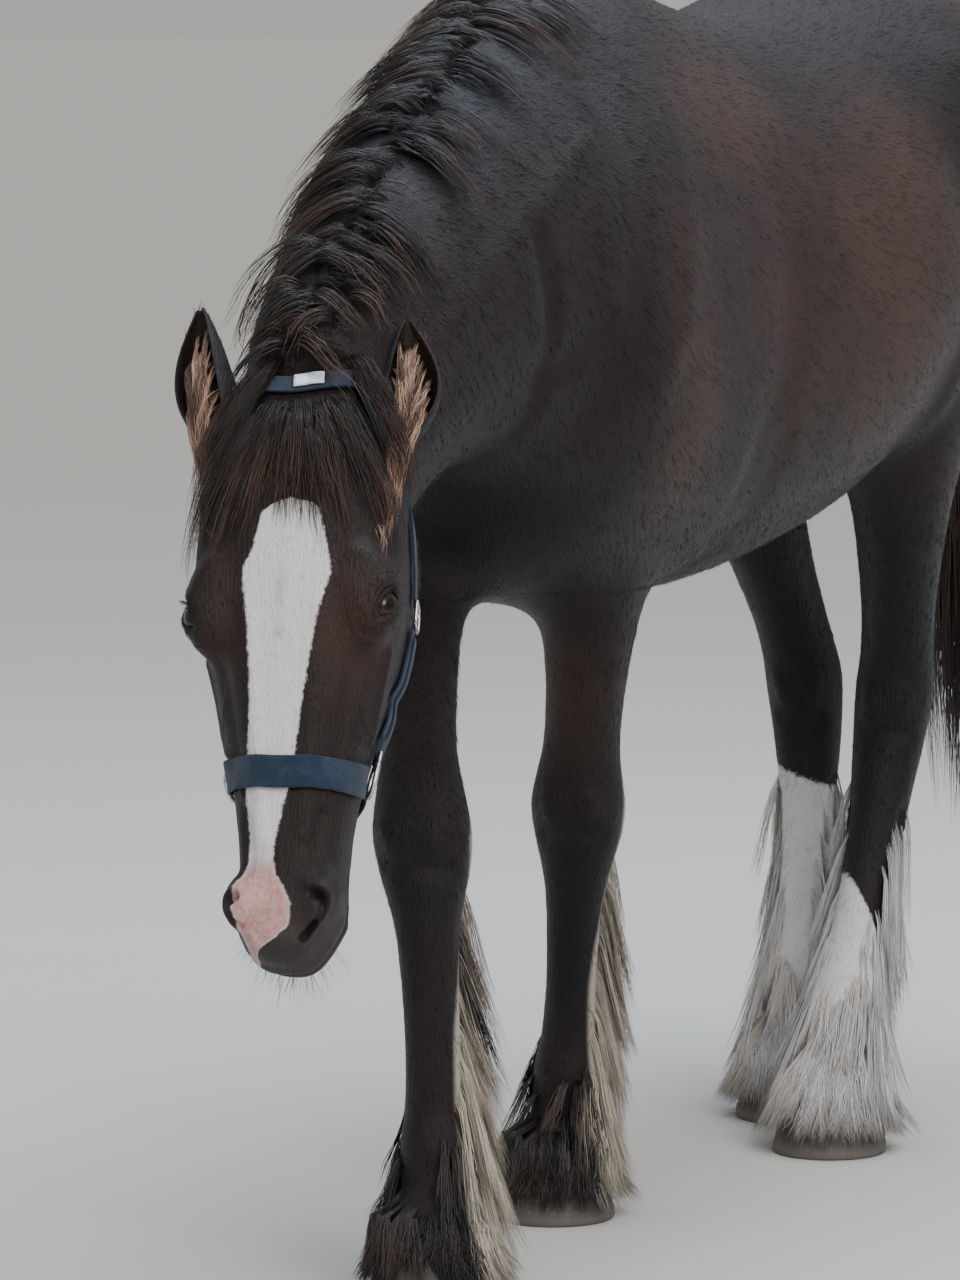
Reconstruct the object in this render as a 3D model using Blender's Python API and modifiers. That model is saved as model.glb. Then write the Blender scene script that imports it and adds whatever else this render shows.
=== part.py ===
"""Irish cob standing with its head lowered, life size, in metres, +Z up.

The horse faces -Y, its left side is +X, and its four soles stand on z = 0.
The flesh is lofted, fused and smoothed as one closed form, and parted with thin cuts.
"""

import math
import random

import bmesh
import bpy
import numpy as np
from mathutils import Matrix, Vector
from mathutils.bvhtree import BVHTree

# Driving sizes
CENTRE = Vector((0.0909, 0.2413, 0.0))
GAP = 0.0003
WELD = 0.00005
VOXEL = 0.007
FLESH_TRIANGLES = 4800
SIDES = 20
BEND_START = 0.0
BEND_FULL = 0.55
BEND_SLOPE = 0.25

POLL = Vector((-0.045, -0.700, 0.985))
MUZZLE = Vector((0.009, -0.965, 0.431))
HEAD_YAW = math.radians(2)

EYE_RADIUS = 0.0205
EYE_AT = (0.0880, -0.004, 0.246)
HOOF_TOP = 0.057
HOOF_BASE = 0.070

# Joints of each leg from the top down to the coronet, then the middle of its sole
FORE_LEFT = [(0.095, 0.030, 0.800), (0.064, 0.072, 0.470), (0.040, 0.125, 0.165),
             (0.031, 0.112, 0.072), (0.030, 0.105, 0.0)]
FORE_RIGHT = [(-0.105, -0.030, 0.800), (-0.012, -0.330, 0.485), (0.014, -0.372, 0.160),
              (0.020, -0.408, 0.072), (0.022, -0.415, 0.0)]
HIND_LEFT = [(0.290, 0.960, 1.120), (0.300, 0.780, 0.890), (0.270, 0.890, 0.520),
             (0.252, 0.690, 0.180), (0.249, 0.625, 0.072), (0.249, 0.605, 0.0)]
HIND_RIGHT = [(0.075, 0.990, 1.120), (0.065, 0.850, 0.890), (0.130, 1.030, 0.520),
              (0.150, 0.905, 0.175), (0.154, 0.855, 0.072), (0.155, 0.840, 0.0)]

# Trunk sections: y, top, bottom, half width, widest, how pointed above and below
TRUNK = [
    (-0.285, 1.110, 0.950, 0.095, 0.00, 0.9, 0.9),
    (-0.255, 1.190, 0.870, 0.160, 0.00, 0.9, 0.9),
    (-0.180, 1.270, 0.775, 0.208, -0.10, 1.0, 0.8),
    (-0.060, 1.345, 0.712, 0.240, -0.15, 1.1, 0.8),
    (0.080, 1.412, 0.690, 0.258, -0.20, 1.4, 0.8),
    (0.210, 1.428, 0.686, 0.274, -0.20, 1.5, 0.8),
    (0.340, 1.395, 0.690, 0.292, -0.18, 1.3, 0.8),
    (0.480, 1.365, 0.705, 0.305, -0.12, 1.1, 0.8),
    (0.620, 1.357, 0.730, 0.308, -0.06, 1.0, 0.85),
    (0.760, 1.378, 0.775, 0.296, 0.02, 1.0, 0.9),
    (0.900, 1.408, 0.840, 0.276, 0.10, 0.9, 1.0),
    (1.020, 1.412, 0.900, 0.264, 0.12, 0.9, 1.0),
    (1.130, 1.375, 0.950, 0.238, 0.05, 0.9, 1.0),
    (1.220, 1.305, 1.000, 0.185, 0.00, 0.9, 1.0),
    (1.268, 1.220, 1.060, 0.100, 0.00, 1.0, 1.0),
]

# Neck sections: top y, top z, bottom y, bottom z, x, half width, how pointed above and below
NECK = [
    (0.170, 1.415, -0.060, 0.740, 0.000, 0.205, 1.4, 0.9),
    (-0.070, 1.365, -0.225, 0.835, -0.004, 0.188, 1.3, 0.9),
    (-0.260, 1.295, -0.335, 0.868, -0.013, 0.160, 1.2, 0.9),
    (-0.435, 1.208, -0.430, 0.862, -0.022, 0.133, 1.1, 0.9),
    (-0.585, 1.110, -0.510, 0.828, -0.033, 0.110, 1.0, 0.9),
    (-0.680, 1.025, -0.580, 0.795, -0.040, 0.090, 0.9, 0.9),
]

# Head sections down the face: distance, front, back, half width, widest, how pointed each way
HEAD = [
    (-0.030, -0.020, -0.130, 0.066, 0.1, 0.9, 0.9),
    (0.010, 0.004, -0.165, 0.078, 0.2, 0.8, 0.9),
    (0.060, 0.024, -0.195, 0.090, 0.3, 0.8, 1.0),
    (0.130, 0.037, -0.220, 0.101, 0.3, 0.7, 1.1),
    (0.200, 0.040, -0.232, 0.105, 0.3, 0.7, 1.2),
    (0.260, 0.034, -0.226, 0.100, 0.3, 0.7, 1.2),
    (0.320, 0.025, -0.192, 0.086, 0.2, 0.7, 1.1),
    (0.380, 0.018, -0.155, 0.073, 0.2, 0.7, 1.0),
    (0.440, 0.013, -0.130, 0.062, 0.1, 0.7, 0.9),
    (0.500, 0.011, -0.118, 0.055, 0.1, 0.7, 0.8),
    (0.550, 0.008, -0.110, 0.057, 0.1, 0.7, 0.8),
    (0.585, -0.006, -0.100, 0.050, 0.0, 0.7, 0.8),
    (0.608, -0.026, -0.086, 0.036, 0.0, 0.8, 0.8),
    (0.618, -0.044, -0.070, 0.020, 0.0, 0.9, 0.9),
]

# Leg sections: how far down its joints, reach to the front and back, half width
FORELEG = [
    (-0.30, 0.150, 0.130, 0.086), (0.00, 0.100, 0.108, 0.076), (0.25, 0.076, 0.078, 0.065),
    (0.50, 0.058, 0.058, 0.052), (0.75, 0.047, 0.046, 0.045), (0.90, 0.050, 0.046, 0.052),
    (1.00, 0.052, 0.054, 0.056), (1.12, 0.042, 0.054, 0.050), (1.30, 0.033, 0.041, 0.036),
    (1.60, 0.031, 0.040, 0.032), (1.85, 0.034, 0.045, 0.036), (2.00, 0.042, 0.052, 0.042),
    (2.35, 0.038, 0.042, 0.039), (2.70, 0.045, 0.042, 0.045), (3.00, 0.058, 0.052, 0.056),
    (3.40, 0.060, 0.050, 0.057),
]
HIND_LEG = [
    (-0.20, 0.210, 0.200, 0.120), (0.00, 0.200, 0.220, 0.128), (0.50, 0.145, 0.205, 0.118),
    (0.85, 0.095, 0.175, 0.102), (1.10, 0.078, 0.140, 0.088), (1.40, 0.070, 0.092, 0.067),
    (1.70, 0.053, 0.062, 0.051), (1.88, 0.049, 0.064, 0.048), (2.00, 0.051, 0.068, 0.050),
    (2.15, 0.046, 0.056, 0.046), (2.40, 0.038, 0.045, 0.037), (2.70, 0.034, 0.043, 0.034),
    (2.90, 0.038, 0.047, 0.039), (3.00, 0.044, 0.052, 0.044), (3.35, 0.039, 0.043, 0.041),
    (3.70, 0.046, 0.042, 0.046), (4.00, 0.058, 0.052, 0.056), (4.40, 0.060, 0.050, 0.057),
]


LEG_NAMES = ("fore_left", "fore_right", "hind_left", "hind_right")
LEGS = [(FORE_LEFT, FORELEG), (FORE_RIGHT, FORELEG), (HIND_LEFT, HIND_LEG), (HIND_RIGHT, HIND_LEG)]
BELOW_KNEE = 1.24
BELOW_HOCK = 2.26
CORONET_NORMAL = Vector((0.0, 0.27, 0.963)).normalized()

# Muscles on both sides: half spread from the spine, y, z, then radii
TRUNK_MUSCLES = [
    ((0.080, -0.215, 0.990), (0.095, 0.085, 0.150)),
    ((0.126, -0.090, 1.000), (0.094, 0.150, 0.210)),
    ((0.152, 0.080, 0.920), (0.096, 0.160, 0.170)),
    ((0.135, 0.880, 1.280), (0.085, 0.150, 0.080)),
    ((0.112, 1.080, 1.110), (0.105, 0.125, 0.170)),
]

# Dock: y, z and reach
DOCK = [(1.180, 1.330, 0.040), (1.262, 1.300, 0.032), (1.325, 1.240, 0.024), (1.350, 1.150, 0.018)]

# Muscles and bones of the head: left, out of the face, down the face, then radii
HEAD_MUSCLES = [
    ((0.052, -0.135, 0.150), (0.044, 0.090, 0.095)),
    ((0.077, -0.004, 0.240), (0.034, 0.036, 0.052)),
    ((0.066, 0.014, 0.216), (0.030, 0.020, 0.040)),
    ((0.070, -0.058, 0.300), (0.016, 0.014, 0.075)),
    ((0.041, -0.014, 0.545), (0.022, 0.032, 0.036)),
]
MUZZLE_FORMS = [
    ((0.0, -0.034, 0.588), (0.044, 0.034, 0.032)),
    ((0.0, -0.088, 0.572), (0.033, 0.030, 0.040)),
]

# A place at the flank, and how far the hindquarters are turned there, in degrees
FLANK = Vector((0.103, 0.690, 0.0))
HIND_TURN = -14

# Ears: root and tip on the left and right, as left, out of the face and down the face,
# then the radius at shares of the length
EAR_ENDS = {1: ((0.078, -0.040, 0.064), (0.098, -0.058, -0.084)),
            -1: ((-0.080, -0.040, 0.048), (-0.120, -0.058, -0.114))}
EAR_SHARES = (0.0, 0.15, 0.40, 0.65, 0.85, 1.0)
EAR_RADII = (0.021, 0.027, 0.031, 0.025, 0.015, 0.0055)
EAR_WALL = 0.0036

# Halter: rings on the cheeks, and how far down the face the noseband lies
RING_RADIUS = 0.017
RING_WIRE = 0.0026
NOSEBAND_DOWN = 0.398
RING_ANGLE = 8

# Locks: how deep the roots go, how many, lengths and half widths, and the line of the tail's middle
# with the reach of its core
ROOT_DEPTH = 0.010
LOCK_GAP = 0.00026
MANE_LOCKS = 15
MANE_START = -0.500
MANE_RUN = 0.37
MANE_LENGTH = (0.13, 0.19)
MANE_HALF_WIDTH = (0.022, 0.030)
FORELOCK_LOCKS = 12
FORELOCK_LENGTH = 0.135
FORELOCK_HALF_WIDTH = (0.012, 0.017)
EAR_LOCKS = 2
EAR_LOCK_HALF_WIDTH = (0.008, 0.010)
TAIL_LOCKS = 14
TAIL_END = 0.28
TAIL_LINE = [
    (0.255, 1.290, 1.280, 0.0), (0.261, 1.322, 1.240, 0.0), (0.266, 1.340, 1.200, 0.026),
    (0.273, 1.362, 1.060, 0.034), (0.277, 1.366, 0.900, 0.034), (0.279, 1.364, 0.780, 0.016),
]
TAIL_HALF_WIDTH = (0.028, 0.036)
FEATHER_HALF_WIDTH = (0.022, 0.029)
FLOOR_GAP = 0.006

# Feather tiers: share of the way from the knee or hock to the floor, angles from
# the front in degrees, fall, and how far the tips reach from the leg's middle
FEATHER = [
    (0.08, (180,), 0.150, 0.058),
    (0.24, (155, 205), 0.150, 0.072),
    (0.40, (128, 180, 232), 0.150, 0.090),
    (0.58, (62, 116, 180, 244, 298), 0.125, 0.102),
    (0.68, (-30, 0, 30), 0.075, 0.082),
]


def bend(y):
    """How far the spine has swung to the horse's left at y."""
    run = min(max(y - BEND_START, 0.0), BEND_FULL)
    past = max(y - BEND_START - BEND_FULL, 0.0)
    return BEND_SLOPE * (run * run / (2 * BEND_FULL) + past)


def fair(rows, steps):
    """Rows of numbers with a smooth curve's rows set between them."""
    rows = [np.array(row, float) for row in rows]
    ends = [2 * rows[0] - rows[1]] + rows + [2 * rows[-1] - rows[-2]]
    out = []
    for a, b, c, d in zip(ends, ends[1:], ends[2:], ends[3:]):
        for k in range(steps):
            t = k / steps
            out.append(0.5 * (2 * b + (c - a) * t + (2 * a - 5 * b + 4 * c - d) * t * t
                              + (3 * b - a - 3 * c + d) * t ** 3))
    return out + [rows[-1]]


def power(value, exponent):
    return math.copysign(abs(value) ** exponent, value)


def section(front, back, half_width, side, widest=0.0, point_front=1.0, point_back=1.0):
    """One closed outline between two end points, side being the unit vector across it."""
    middle = front.lerp(back, 0.5 - 0.5 * widest)
    points = []
    for k in range(SIDES):
        angle = 2 * math.pi * k / SIDES
        across, along = math.cos(angle), math.sin(angle)
        end, point = (front, point_front) if along > 0 else (back, point_back)
        points.append(middle + (end - middle) * abs(along) + side * half_width * power(across, point))
    return points


def skin_over(bm, outlines):
    """A closed tube over a run of outlines of like count."""
    rings = [[bm.verts.new(point) for point in outline] for outline in outlines]
    count = len(rings[0])
    for low, high in zip(rings, rings[1:]):
        for k in range(count):
            n = (k + 1) % count
            bm.faces.new((low[k], low[n], high[n], high[k]))
    bm.faces.new(rings[0][::-1])
    bm.faces.new(rings[-1])


def blob(bm, centre, radii, turn=None):
    """An ellipsoid, for a muscle or a joint."""
    frame = Matrix.Translation(centre) @ (turn.to_4x4() if turn else Matrix())
    frame = frame @ Matrix.Diagonal((*radii, 1.0))
    bmesh.ops.create_uvsphere(bm, u_segments=20, v_segments=12, radius=1.0, matrix=frame)


def head_axes():
    """Unit vectors to the horse's left, out of its face, and down its face."""
    down = (MUZZLE - POLL).normalized()
    ahead = Vector((math.sin(HEAD_YAW), -math.cos(HEAD_YAW), 0.0))
    left = ahead.cross(down).normalized()
    return left, down.cross(left), down


HEAD_TURN = Matrix(head_axes()).transposed()


def on_head(left, front, down):
    return POLL + HEAD_TURN @ Vector((left, front, down))


def leg_spot(joints, place):
    """The point and direction at a place between numbered joints, 0 being the first."""
    rows = fair(joints, 8)
    spot = min(max(place * 8, 0.0), len(rows) - 1.001)
    k = int(spot)
    a, b = Vector(rows[k]), Vector(rows[k + 1])
    along = (b - a).normalized()
    point = a.lerp(b, spot - k)
    return (point + along * (place * 0.2 if place < 0 else 0.0)), along


def leg_outlines(joints, table):
    outlines = []
    for place, front, back, half_width in fair(table, 3):
        point, along = leg_spot(joints, place)
        side = Vector((1.0, 0.0, 0.0))
        side = (side - along * side.dot(along)).normalized()
        ahead = along.cross(side)
        if ahead.y > 0:
            ahead = -ahead
        outlines.append(section(point + ahead * front, point - ahead * back, half_width, side))
    return outlines


def material(name, colour, roughness, metallic=0.0):
    finish = bpy.data.materials.new(name)
    finish.use_nodes = True
    shader = finish.node_tree.nodes["Principled BSDF"]
    shader.inputs["Base Color"].default_value = (*colour, 1.0)
    shader.inputs["Roughness"].default_value = roughness
    shader.inputs["Metallic"].default_value = metallic
    return finish


def add_object(name, mesh, collection, finish=None):
    piece = bpy.data.objects.new(name, mesh)
    collection.objects.link(piece)
    if finish:
        mesh.materials.append(finish)
    return piece


def mesh_of(bm, name):
    mesh = bpy.data.meshes.new(name)
    bmesh.ops.recalc_face_normals(bm, faces=bm.faces)
    bm.to_mesh(mesh)
    bm.free()
    return mesh


def bake(piece):
    """Replace the mesh by what its modifiers make of it."""
    bpy.context.view_layer.update()
    graph = bpy.context.evaluated_depsgraph_get()
    mesh = bpy.data.meshes.new_from_object(piece.evaluated_get(graph), depsgraph=graph)
    piece.modifiers.clear()
    piece.data = mesh


def triangles(mesh):
    return sum(len(face.vertices) - 2 for face in mesh.polygons)


def boolean(piece, operation, others, solver="EXACT"):
    """Join a collection's objects to the piece or cut them from it, and remove them."""
    modifier = piece.modifiers.new("Boolean", "BOOLEAN")
    modifier.operation = operation
    modifier.solver = solver
    modifier.operand_type = "COLLECTION"
    modifier.collection = others
    bake(piece)
    clear(others)


def clear(collection):
    for piece in list(collection.objects):
        bpy.data.objects.remove(piece)


def loose_parts(mesh):
    """The separate closed surfaces of a mesh, largest first, each in a bmesh of its own."""
    whole = bmesh.new()
    whole.from_mesh(mesh)
    whole.faces.ensure_lookup_table()
    seen = set()
    groups = []
    for start in whole.faces:
        if start.index in seen:
            continue
        seen.add(start.index)
        group, stack = set(), [start]
        while stack:
            face = stack.pop()
            group.add(face.index)
            edges = [edge for edge in face.edges if len(edge.link_faces) == 2]
            for other in [other for edge in edges for other in edge.link_faces]:
                if other.index not in seen:
                    seen.add(other.index)
                    stack.append(other)
        groups.append(group)
    whole.free()
    parts = []
    for group in sorted(groups, key=len, reverse=True):
        bm = bmesh.new()
        bm.from_mesh(mesh)
        bmesh.ops.delete(bm, geom=[face for face in bm.faces if face.index not in group], context="FACES")
        parts.append(bm)
    return parts


def keep_largest(piece):
    parts = loose_parts(piece.data)
    for bm in parts[1:]:
        bm.free()
    split_faces(parts[0])
    parts[0].to_mesh(piece.data)
    parts[0].free()


def split_faces(bm):
    """Cut a mesh into triangles, and take away the pairs that fold onto one another."""
    bmesh.ops.remove_doubles(bm, verts=bm.verts, dist=WELD)
    bmesh.ops.triangulate(bm, faces=bm.faces)
    alike = {}
    for face in bm.faces:
        alike.setdefault(frozenset(face.verts), []).append(face)
    folded = [face for faces in alike.values() if len(faces) > 1 for face in faces]
    bmesh.ops.delete(bm, geom=folded, context="FACES")


def flesh_form():
    """The whole body as overlapping lofts and ellipsoids, not yet fused."""
    bm = bmesh.new()
    side = Vector((1.0, 0.0, 0.0))
    outlines = []
    for y, top, bottom, half_width, widest, above, below in fair(TRUNK, 3):
        across = Vector((1.0, -bend(y + 0.05) / 0.05 + bend(y) / 0.05, 0.0)).normalized()
        outlines.append(section(Vector((bend(y), y, top)), Vector((bend(y), y, bottom)),
                                half_width, across, widest, above, below))
    skin_over(bm, outlines)
    outlines = []
    for top_y, top, bottom_y, bottom, x, half_width, above, below in fair(NECK, 3):
        outlines.append(section(Vector((x, top_y, top)), Vector((x, bottom_y, bottom)),
                                half_width, side, -0.1, above, below))
    skin_over(bm, outlines)
    outlines = []
    for down, front, back, half_width, widest, point_front, point_back in fair(HEAD, 3):
        outlines.append(section(on_head(0, front, down), on_head(0, back, down), half_width,
                                HEAD_TURN.col[0].copy(), widest, point_front, point_back))
    skin_over(bm, outlines)
    for joints, table in LEGS:
        skin_over(bm, leg_outlines(joints, table))
    for hand in (-1, 1):
        for centre, radii in TRUNK_MUSCLES:
            x = bend(centre[1]) + hand * centre[0]
            blob(bm, Vector((x, centre[1], centre[2])), radii)
        for centre, radii in HEAD_MUSCLES:
            blob(bm, on_head(hand * centre[0], centre[1], centre[2]), radii, HEAD_TURN)
    for centre, radii in MUZZLE_FORMS:
        blob(bm, on_head(*centre), radii, HEAD_TURN)
    for joints in (HIND_LEFT, HIND_RIGHT):
        blob(bm, Vector(joints[2]) + Vector((0.0, 0.058, 0.052)), (0.024, 0.030, 0.045))
    outlines = []
    for y, z, reach in DOCK:
        point, slant = Vector((bend(y), y, z)), Vector((0, -reach, reach))
        outlines.append(section(point + slant, point - slant, reach * 1.2, side))
    skin_over(bm, outlines)
    return bm


def behind_flank(across, back, z):
    """A place in the hindquarters, which are turned with the spine."""
    return FLANK + Matrix.Rotation(math.radians(HIND_TURN), 3, "Z") @ Vector((across, back, z))


# Thin cuts: middle, half sizes, and turn about x then z in degrees
CUTS = [
    ((-0.008, -0.130, 1.170), (0.40, 0.0, 0.46), (-34, 0)),
    ((-0.036, -0.572, 0.945), (0.20, 0.0, 0.17), (16, 0)),
    ((0.252, 1.288, 1.230), (0.075, 0.0, 0.13), (0, HIND_TURN)),
    ((0.000, -0.095, 0.860), (0.42, 0.305, 0.0), (0, 0)),
    ((0.005, -0.095, 0.760), (0.0, 0.305, 0.10), (0, 0)),
    ((0.000, 0.210, 0.740), (0.42, 0.0, 0.12), (0, 0)),
    (behind_flank(0, 0.40, 1.020), (0.50, 0.40, 0.0), (0, HIND_TURN)),
    (behind_flank(0, 0, 0.810), (0.50, 0.0, 0.21), (0, HIND_TURN)),
    (behind_flank(0.005, 0.40, 0.840), (0.0, 0.40, 0.18), (0, HIND_TURN)),
]


def plate(centre, halves, turn):
    """A thin cutter; the half size given as 0 is its thickness."""
    bm = bmesh.new()
    sizes = [2 * half if half else GAP for half in halves]
    frame = Matrix.Rotation(math.radians(turn[1]), 4, "Z") @ Matrix.Rotation(math.radians(turn[0]), 4, "X")
    frame = Matrix.Translation(centre) @ frame @ Matrix.Diagonal((*sizes, 1.0))
    bmesh.ops.create_cube(bm, size=1.0, matrix=frame)
    return mesh_of(bm, "plate")


def leg_plate(joints, place, reach):
    """A thin cutter square across a leg."""
    point, along = leg_spot(joints, place)
    return plate_across(point, along, reach)


def plate_across(point, along, reach):
    bm = bmesh.new()
    frame = Matrix.Translation(point) @ along.to_track_quat("Z", "Y").to_matrix().to_4x4()
    frame = frame @ Matrix.Diagonal((2 * reach, 2 * reach, GAP, 1.0))
    bmesh.ops.create_cube(bm, size=1.0, matrix=frame)
    return mesh_of(bm, "plate")


def make_flesh(parts):
    """The fused, smoothed and coarsened body, as one object."""
    flesh = add_object("flesh", mesh_of(flesh_form(), "flesh"), parts)
    remesh = flesh.modifiers.new("Fuse", "REMESH")
    remesh.mode = "VOXEL"
    remesh.voxel_size = VOXEL
    smooth = flesh.modifiers.new("Smooth", "SMOOTH")
    smooth.factor = 0.5
    smooth.iterations = 6
    bake(flesh)
    broad = flesh.vertex_groups.new(name="broad")
    for vert in flesh.data.vertices:
        high = min(max((vert.co.z - 0.55) / 0.2, 0.0), 1.0)
        behind = min(max((vert.co.y + 0.62) / 0.15, 0.0), 1.0)
        broad.add([vert.index], high * behind, "REPLACE")
    relax = flesh.modifiers.new("Relax", "SMOOTH")
    relax.factor = 0.9
    relax.iterations = 120
    relax.vertex_group = "broad"
    bake(flesh)
    weights = flesh.vertex_groups.new(name="coarse")
    for vert in flesh.data.vertices:
        fine = vert.co.y < -0.62 or vert.co.z < 0.60
        weights.add([vert.index], 0.55 if fine else 1.0, "REPLACE")
    coarsen = flesh.modifiers.new("Coarsen", "DECIMATE")
    coarsen.ratio = FLESH_TRIANGLES / triangles(flesh.data)
    coarsen.vertex_group = "coarse"
    coarsen.vertex_group_factor = 0.0002
    bake(flesh)
    return flesh


def coronet(joints):
    return Vector(joints[-2])


def part_body(flesh, parts, cutters, finishes):
    """Part the flesh with thin cuts and name what they leave."""
    for centre, halves, turn in CUTS:
        add_object("plate", plate(centre, halves, turn), cutters)
    spots = {
        "head": (on_head(0, -0.08, 0.28), "coat"),
        "neck": (Vector((-0.01, -0.33, 1.08)), "coat"),
        "torso": (Vector((0.08, 0.5, 1.05)), "coat"),
        "tail": (Vector((bend(1.3), 1.32, 1.18)), "coat"),
    }
    for name, (joints, table) in zip(LEG_NAMES, LEGS):
        middle = BELOW_KNEE if table is FORELEG else BELOW_HOCK
        add_object("plate", leg_plate(joints, middle, 0.09), cutters)
        sole_cut = plate_across(coronet(joints) + CORONET_NORMAL * GAP / 2, CORONET_NORMAL, 0.09)
        add_object("plate", sole_cut, cutters)
        spots["leg_" + name] = (leg_spot(joints, 0.45 * middle)[0], "coat")
        spots["cannon_" + name] = (leg_spot(joints, middle + 0.6)[0], "coat")
    boolean(flesh, "DIFFERENCE", cutters)
    pieces = loose_parts(flesh.data)
    nodes = {}
    for name, (spot, finish) in spots.items():
        bm = min(pieces, key=lambda piece: (middle_of(piece) - spot).length)
        pieces.remove(bm)
        split_faces(bm)
        nodes[name] = add_object(name, mesh_of(bm, name), parts, finishes[finish])
    bpy.data.objects.remove(flesh)
    return nodes


def middle_of(bm):
    total = Vector()
    for vert in bm.verts:
        total += vert.co
    return total / len(bm.verts)


def make_hoof(name, joints, parts, finish):
    """A flat-soled cone whose top slopes down to the heel, meeting the coronet."""
    bm = bmesh.new()
    bmesh.ops.create_cone(bm, cap_ends=True, segments=20, radius1=HOOF_BASE, radius2=HOOF_TOP, depth=1.0)
    sole, top = Vector(joints[-1]), coronet(joints)
    for vert in bm.verts:
        if vert.co.z < 0:
            vert.co = sole + Vector((vert.co.x, vert.co.y * 1.06 - 0.004, 0.0))
        else:
            rise = -vert.co.y * CORONET_NORMAL.y / CORONET_NORMAL.z
            vert.co = top + Vector((vert.co.x, vert.co.y, rise))
    return add_object(name, mesh_of(bm, name), parts, finish)


def sphere(centre, radius, segments=14, rings=8):
    bm = bmesh.new()
    bmesh.ops.create_uvsphere(bm, u_segments=segments, v_segments=rings, radius=radius,
                              matrix=Matrix.Translation(centre))
    return mesh_of(bm, "sphere")


def eye_centre(hand):
    return on_head(hand * EYE_AT[0], EYE_AT[1], EYE_AT[2])


def make_eyes(nodes, parts, cutters, finish):
    """Eyeballs set in sockets, behind lids with an almond opening."""
    head = nodes["head"]
    for hand in (-1, 1):
        add_object("lids", sphere(eye_centre(hand), EYE_RADIUS + 0.004), cutters)
    boolean(head, "UNION", cutters)
    for hand in (-1, 1):
        add_object("opening", almond(hand), cutters)
        add_object("socket", sphere(eye_centre(hand), EYE_RADIUS + 0.0006), cutters)
    boolean(head, "DIFFERENCE", cutters)
    keep_largest(head)
    for hand, name in ((1, "eye_left"), (-1, "eye_right")):
        nodes[name] = add_object(name, sphere(eye_centre(hand), EYE_RADIUS), parts, finish)


def almond(hand):
    """A prism with two arched sides, which opens the lids along the way the eye looks."""
    look = (HEAD_TURN @ Vector((hand * 0.90, 0.42, 0.0))).normalized()
    along = (HEAD_TURN @ Vector((0.0, -0.25, 1.0))).normalized()
    along = (along - look * along.dot(look)).normalized()
    across = look.cross(along)
    half_long, half_high = 0.0185, 0.0105
    outline = []
    for k in range(12):
        angle = 2 * math.pi * k / 12
        outline.append(along * half_long * math.cos(angle)
                       + across * half_high * power(math.sin(angle), 1.2))
    centre = eye_centre(hand)
    bm = bmesh.new()
    skin_over(bm, [[centre + point for point in outline],
                   [centre + look * 0.05 + point * 1.3 for point in outline]])
    return mesh_of(bm, "almond")


def tube_through(points, radii, sides=6):
    """A closed round tube along points."""
    bm = bmesh.new()
    outlines = []
    for k, point in enumerate(points):
        along = (points[min(k + 1, len(points) - 1)] - points[max(k - 1, 0)]).normalized()
        frame = along.to_track_quat("Z", "Y").to_matrix()
        outlines.append([point + frame @ Vector((radii[k] * math.cos(2 * math.pi * n / sides),
                                                 radii[k] * math.sin(2 * math.pi * n / sides), 0.0))
                         for n in range(sides)])
    skin_over(bm, outlines)
    return mesh_of(bm, "tube")


class HeadSurface:
    """Finds points on the head by casting in from all round its long axis."""

    def __init__(self, head):
        bm = bmesh.new()
        bm.from_mesh(head.data)
        self.tree = BVHTree.FromBMesh(bm)
        bm.free()

    def at(self, aim):
        """The surface point and normal met on the way in to a hub, given as hub and outward way."""
        hub = on_head(*aim[:3])
        out = (HEAD_TURN @ Vector(aim[3:])).normalized()
        point, normal, _, _ = self.tree.ray_cast(hub + out * 0.4, -out)
        return point, normal

    def under(self, point, normal):
        """The surface point straight below one that floats over it."""
        hit, _, _, _ = self.tree.ray_cast(point + normal * 0.03, -normal)
        return hit if hit else point


def round_face(angle, down):
    """An aim across the head's long axis: 0 is its left, 90 its face."""
    turn = math.radians(angle)
    return (0.0, -0.075, down, math.cos(turn), math.sin(turn), 0.0)


def over_poll(angle):
    """An aim behind the ears: 0 is the left, 90 the top of the poll."""
    turn = math.radians(angle)
    return (0.0, -0.110, 0.060, math.cos(turn), 0.0, -math.sin(turn))


def carve_mouth_and_nostrils(head, cutters):
    """The line of the lips and the two nostrils."""
    surface = HeadSurface(head)
    path = []
    for k in range(-5, 6):
        angle = math.radians(k * 19)
        path.append(surface.at((0.0, -0.068, 0.535, math.sin(angle), 0.0, math.cos(angle)))[0])
    add_object("mouth", tube_through(path, [0.0026] * len(path), 4), cutters)
    for hand in (-1, 1):
        bm = bmesh.new()
        turn = HEAD_TURN @ Matrix.Rotation(math.radians(hand * 28), 3, "Z")
        blob(bm, on_head(hand * 0.056, 0.006, 0.550), (0.009, 0.020, 0.019), turn)
        add_object("nostril", mesh_of(bm, "nostril"), cutters)
    boolean(head, "DIFFERENCE", cutters)
    keep_largest(head)


def ear_outline(hand, share):
    """The middle, radius and open half angle of an ear at a share of its length."""
    root, tip = (on_head(*end) for end in EAR_ENDS[hand])
    bow = HEAD_TURN @ Vector((hand * 0.014, -0.010, 0.0)) * math.sin(math.pi * share)
    radius = np.interp(share, EAR_SHARES, EAR_RADII)
    opening = np.interp(share, (0.0, 0.15, 0.5, 1.0), (15, 45, 62, 70))
    return root.lerp(tip, share) + bow, radius, opening


def ear_axes(hand):
    """Unit vectors up an ear, out of its open side, and across it."""
    along = (ear_outline(hand, 1)[0] - ear_outline(hand, 0)[0]).normalized()
    look = HEAD_TURN @ Vector((hand * 0.42, 0.90, 0.0))
    look = (look - along * look.dot(along)).normalized()
    return along, look, along.cross(look)


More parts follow.
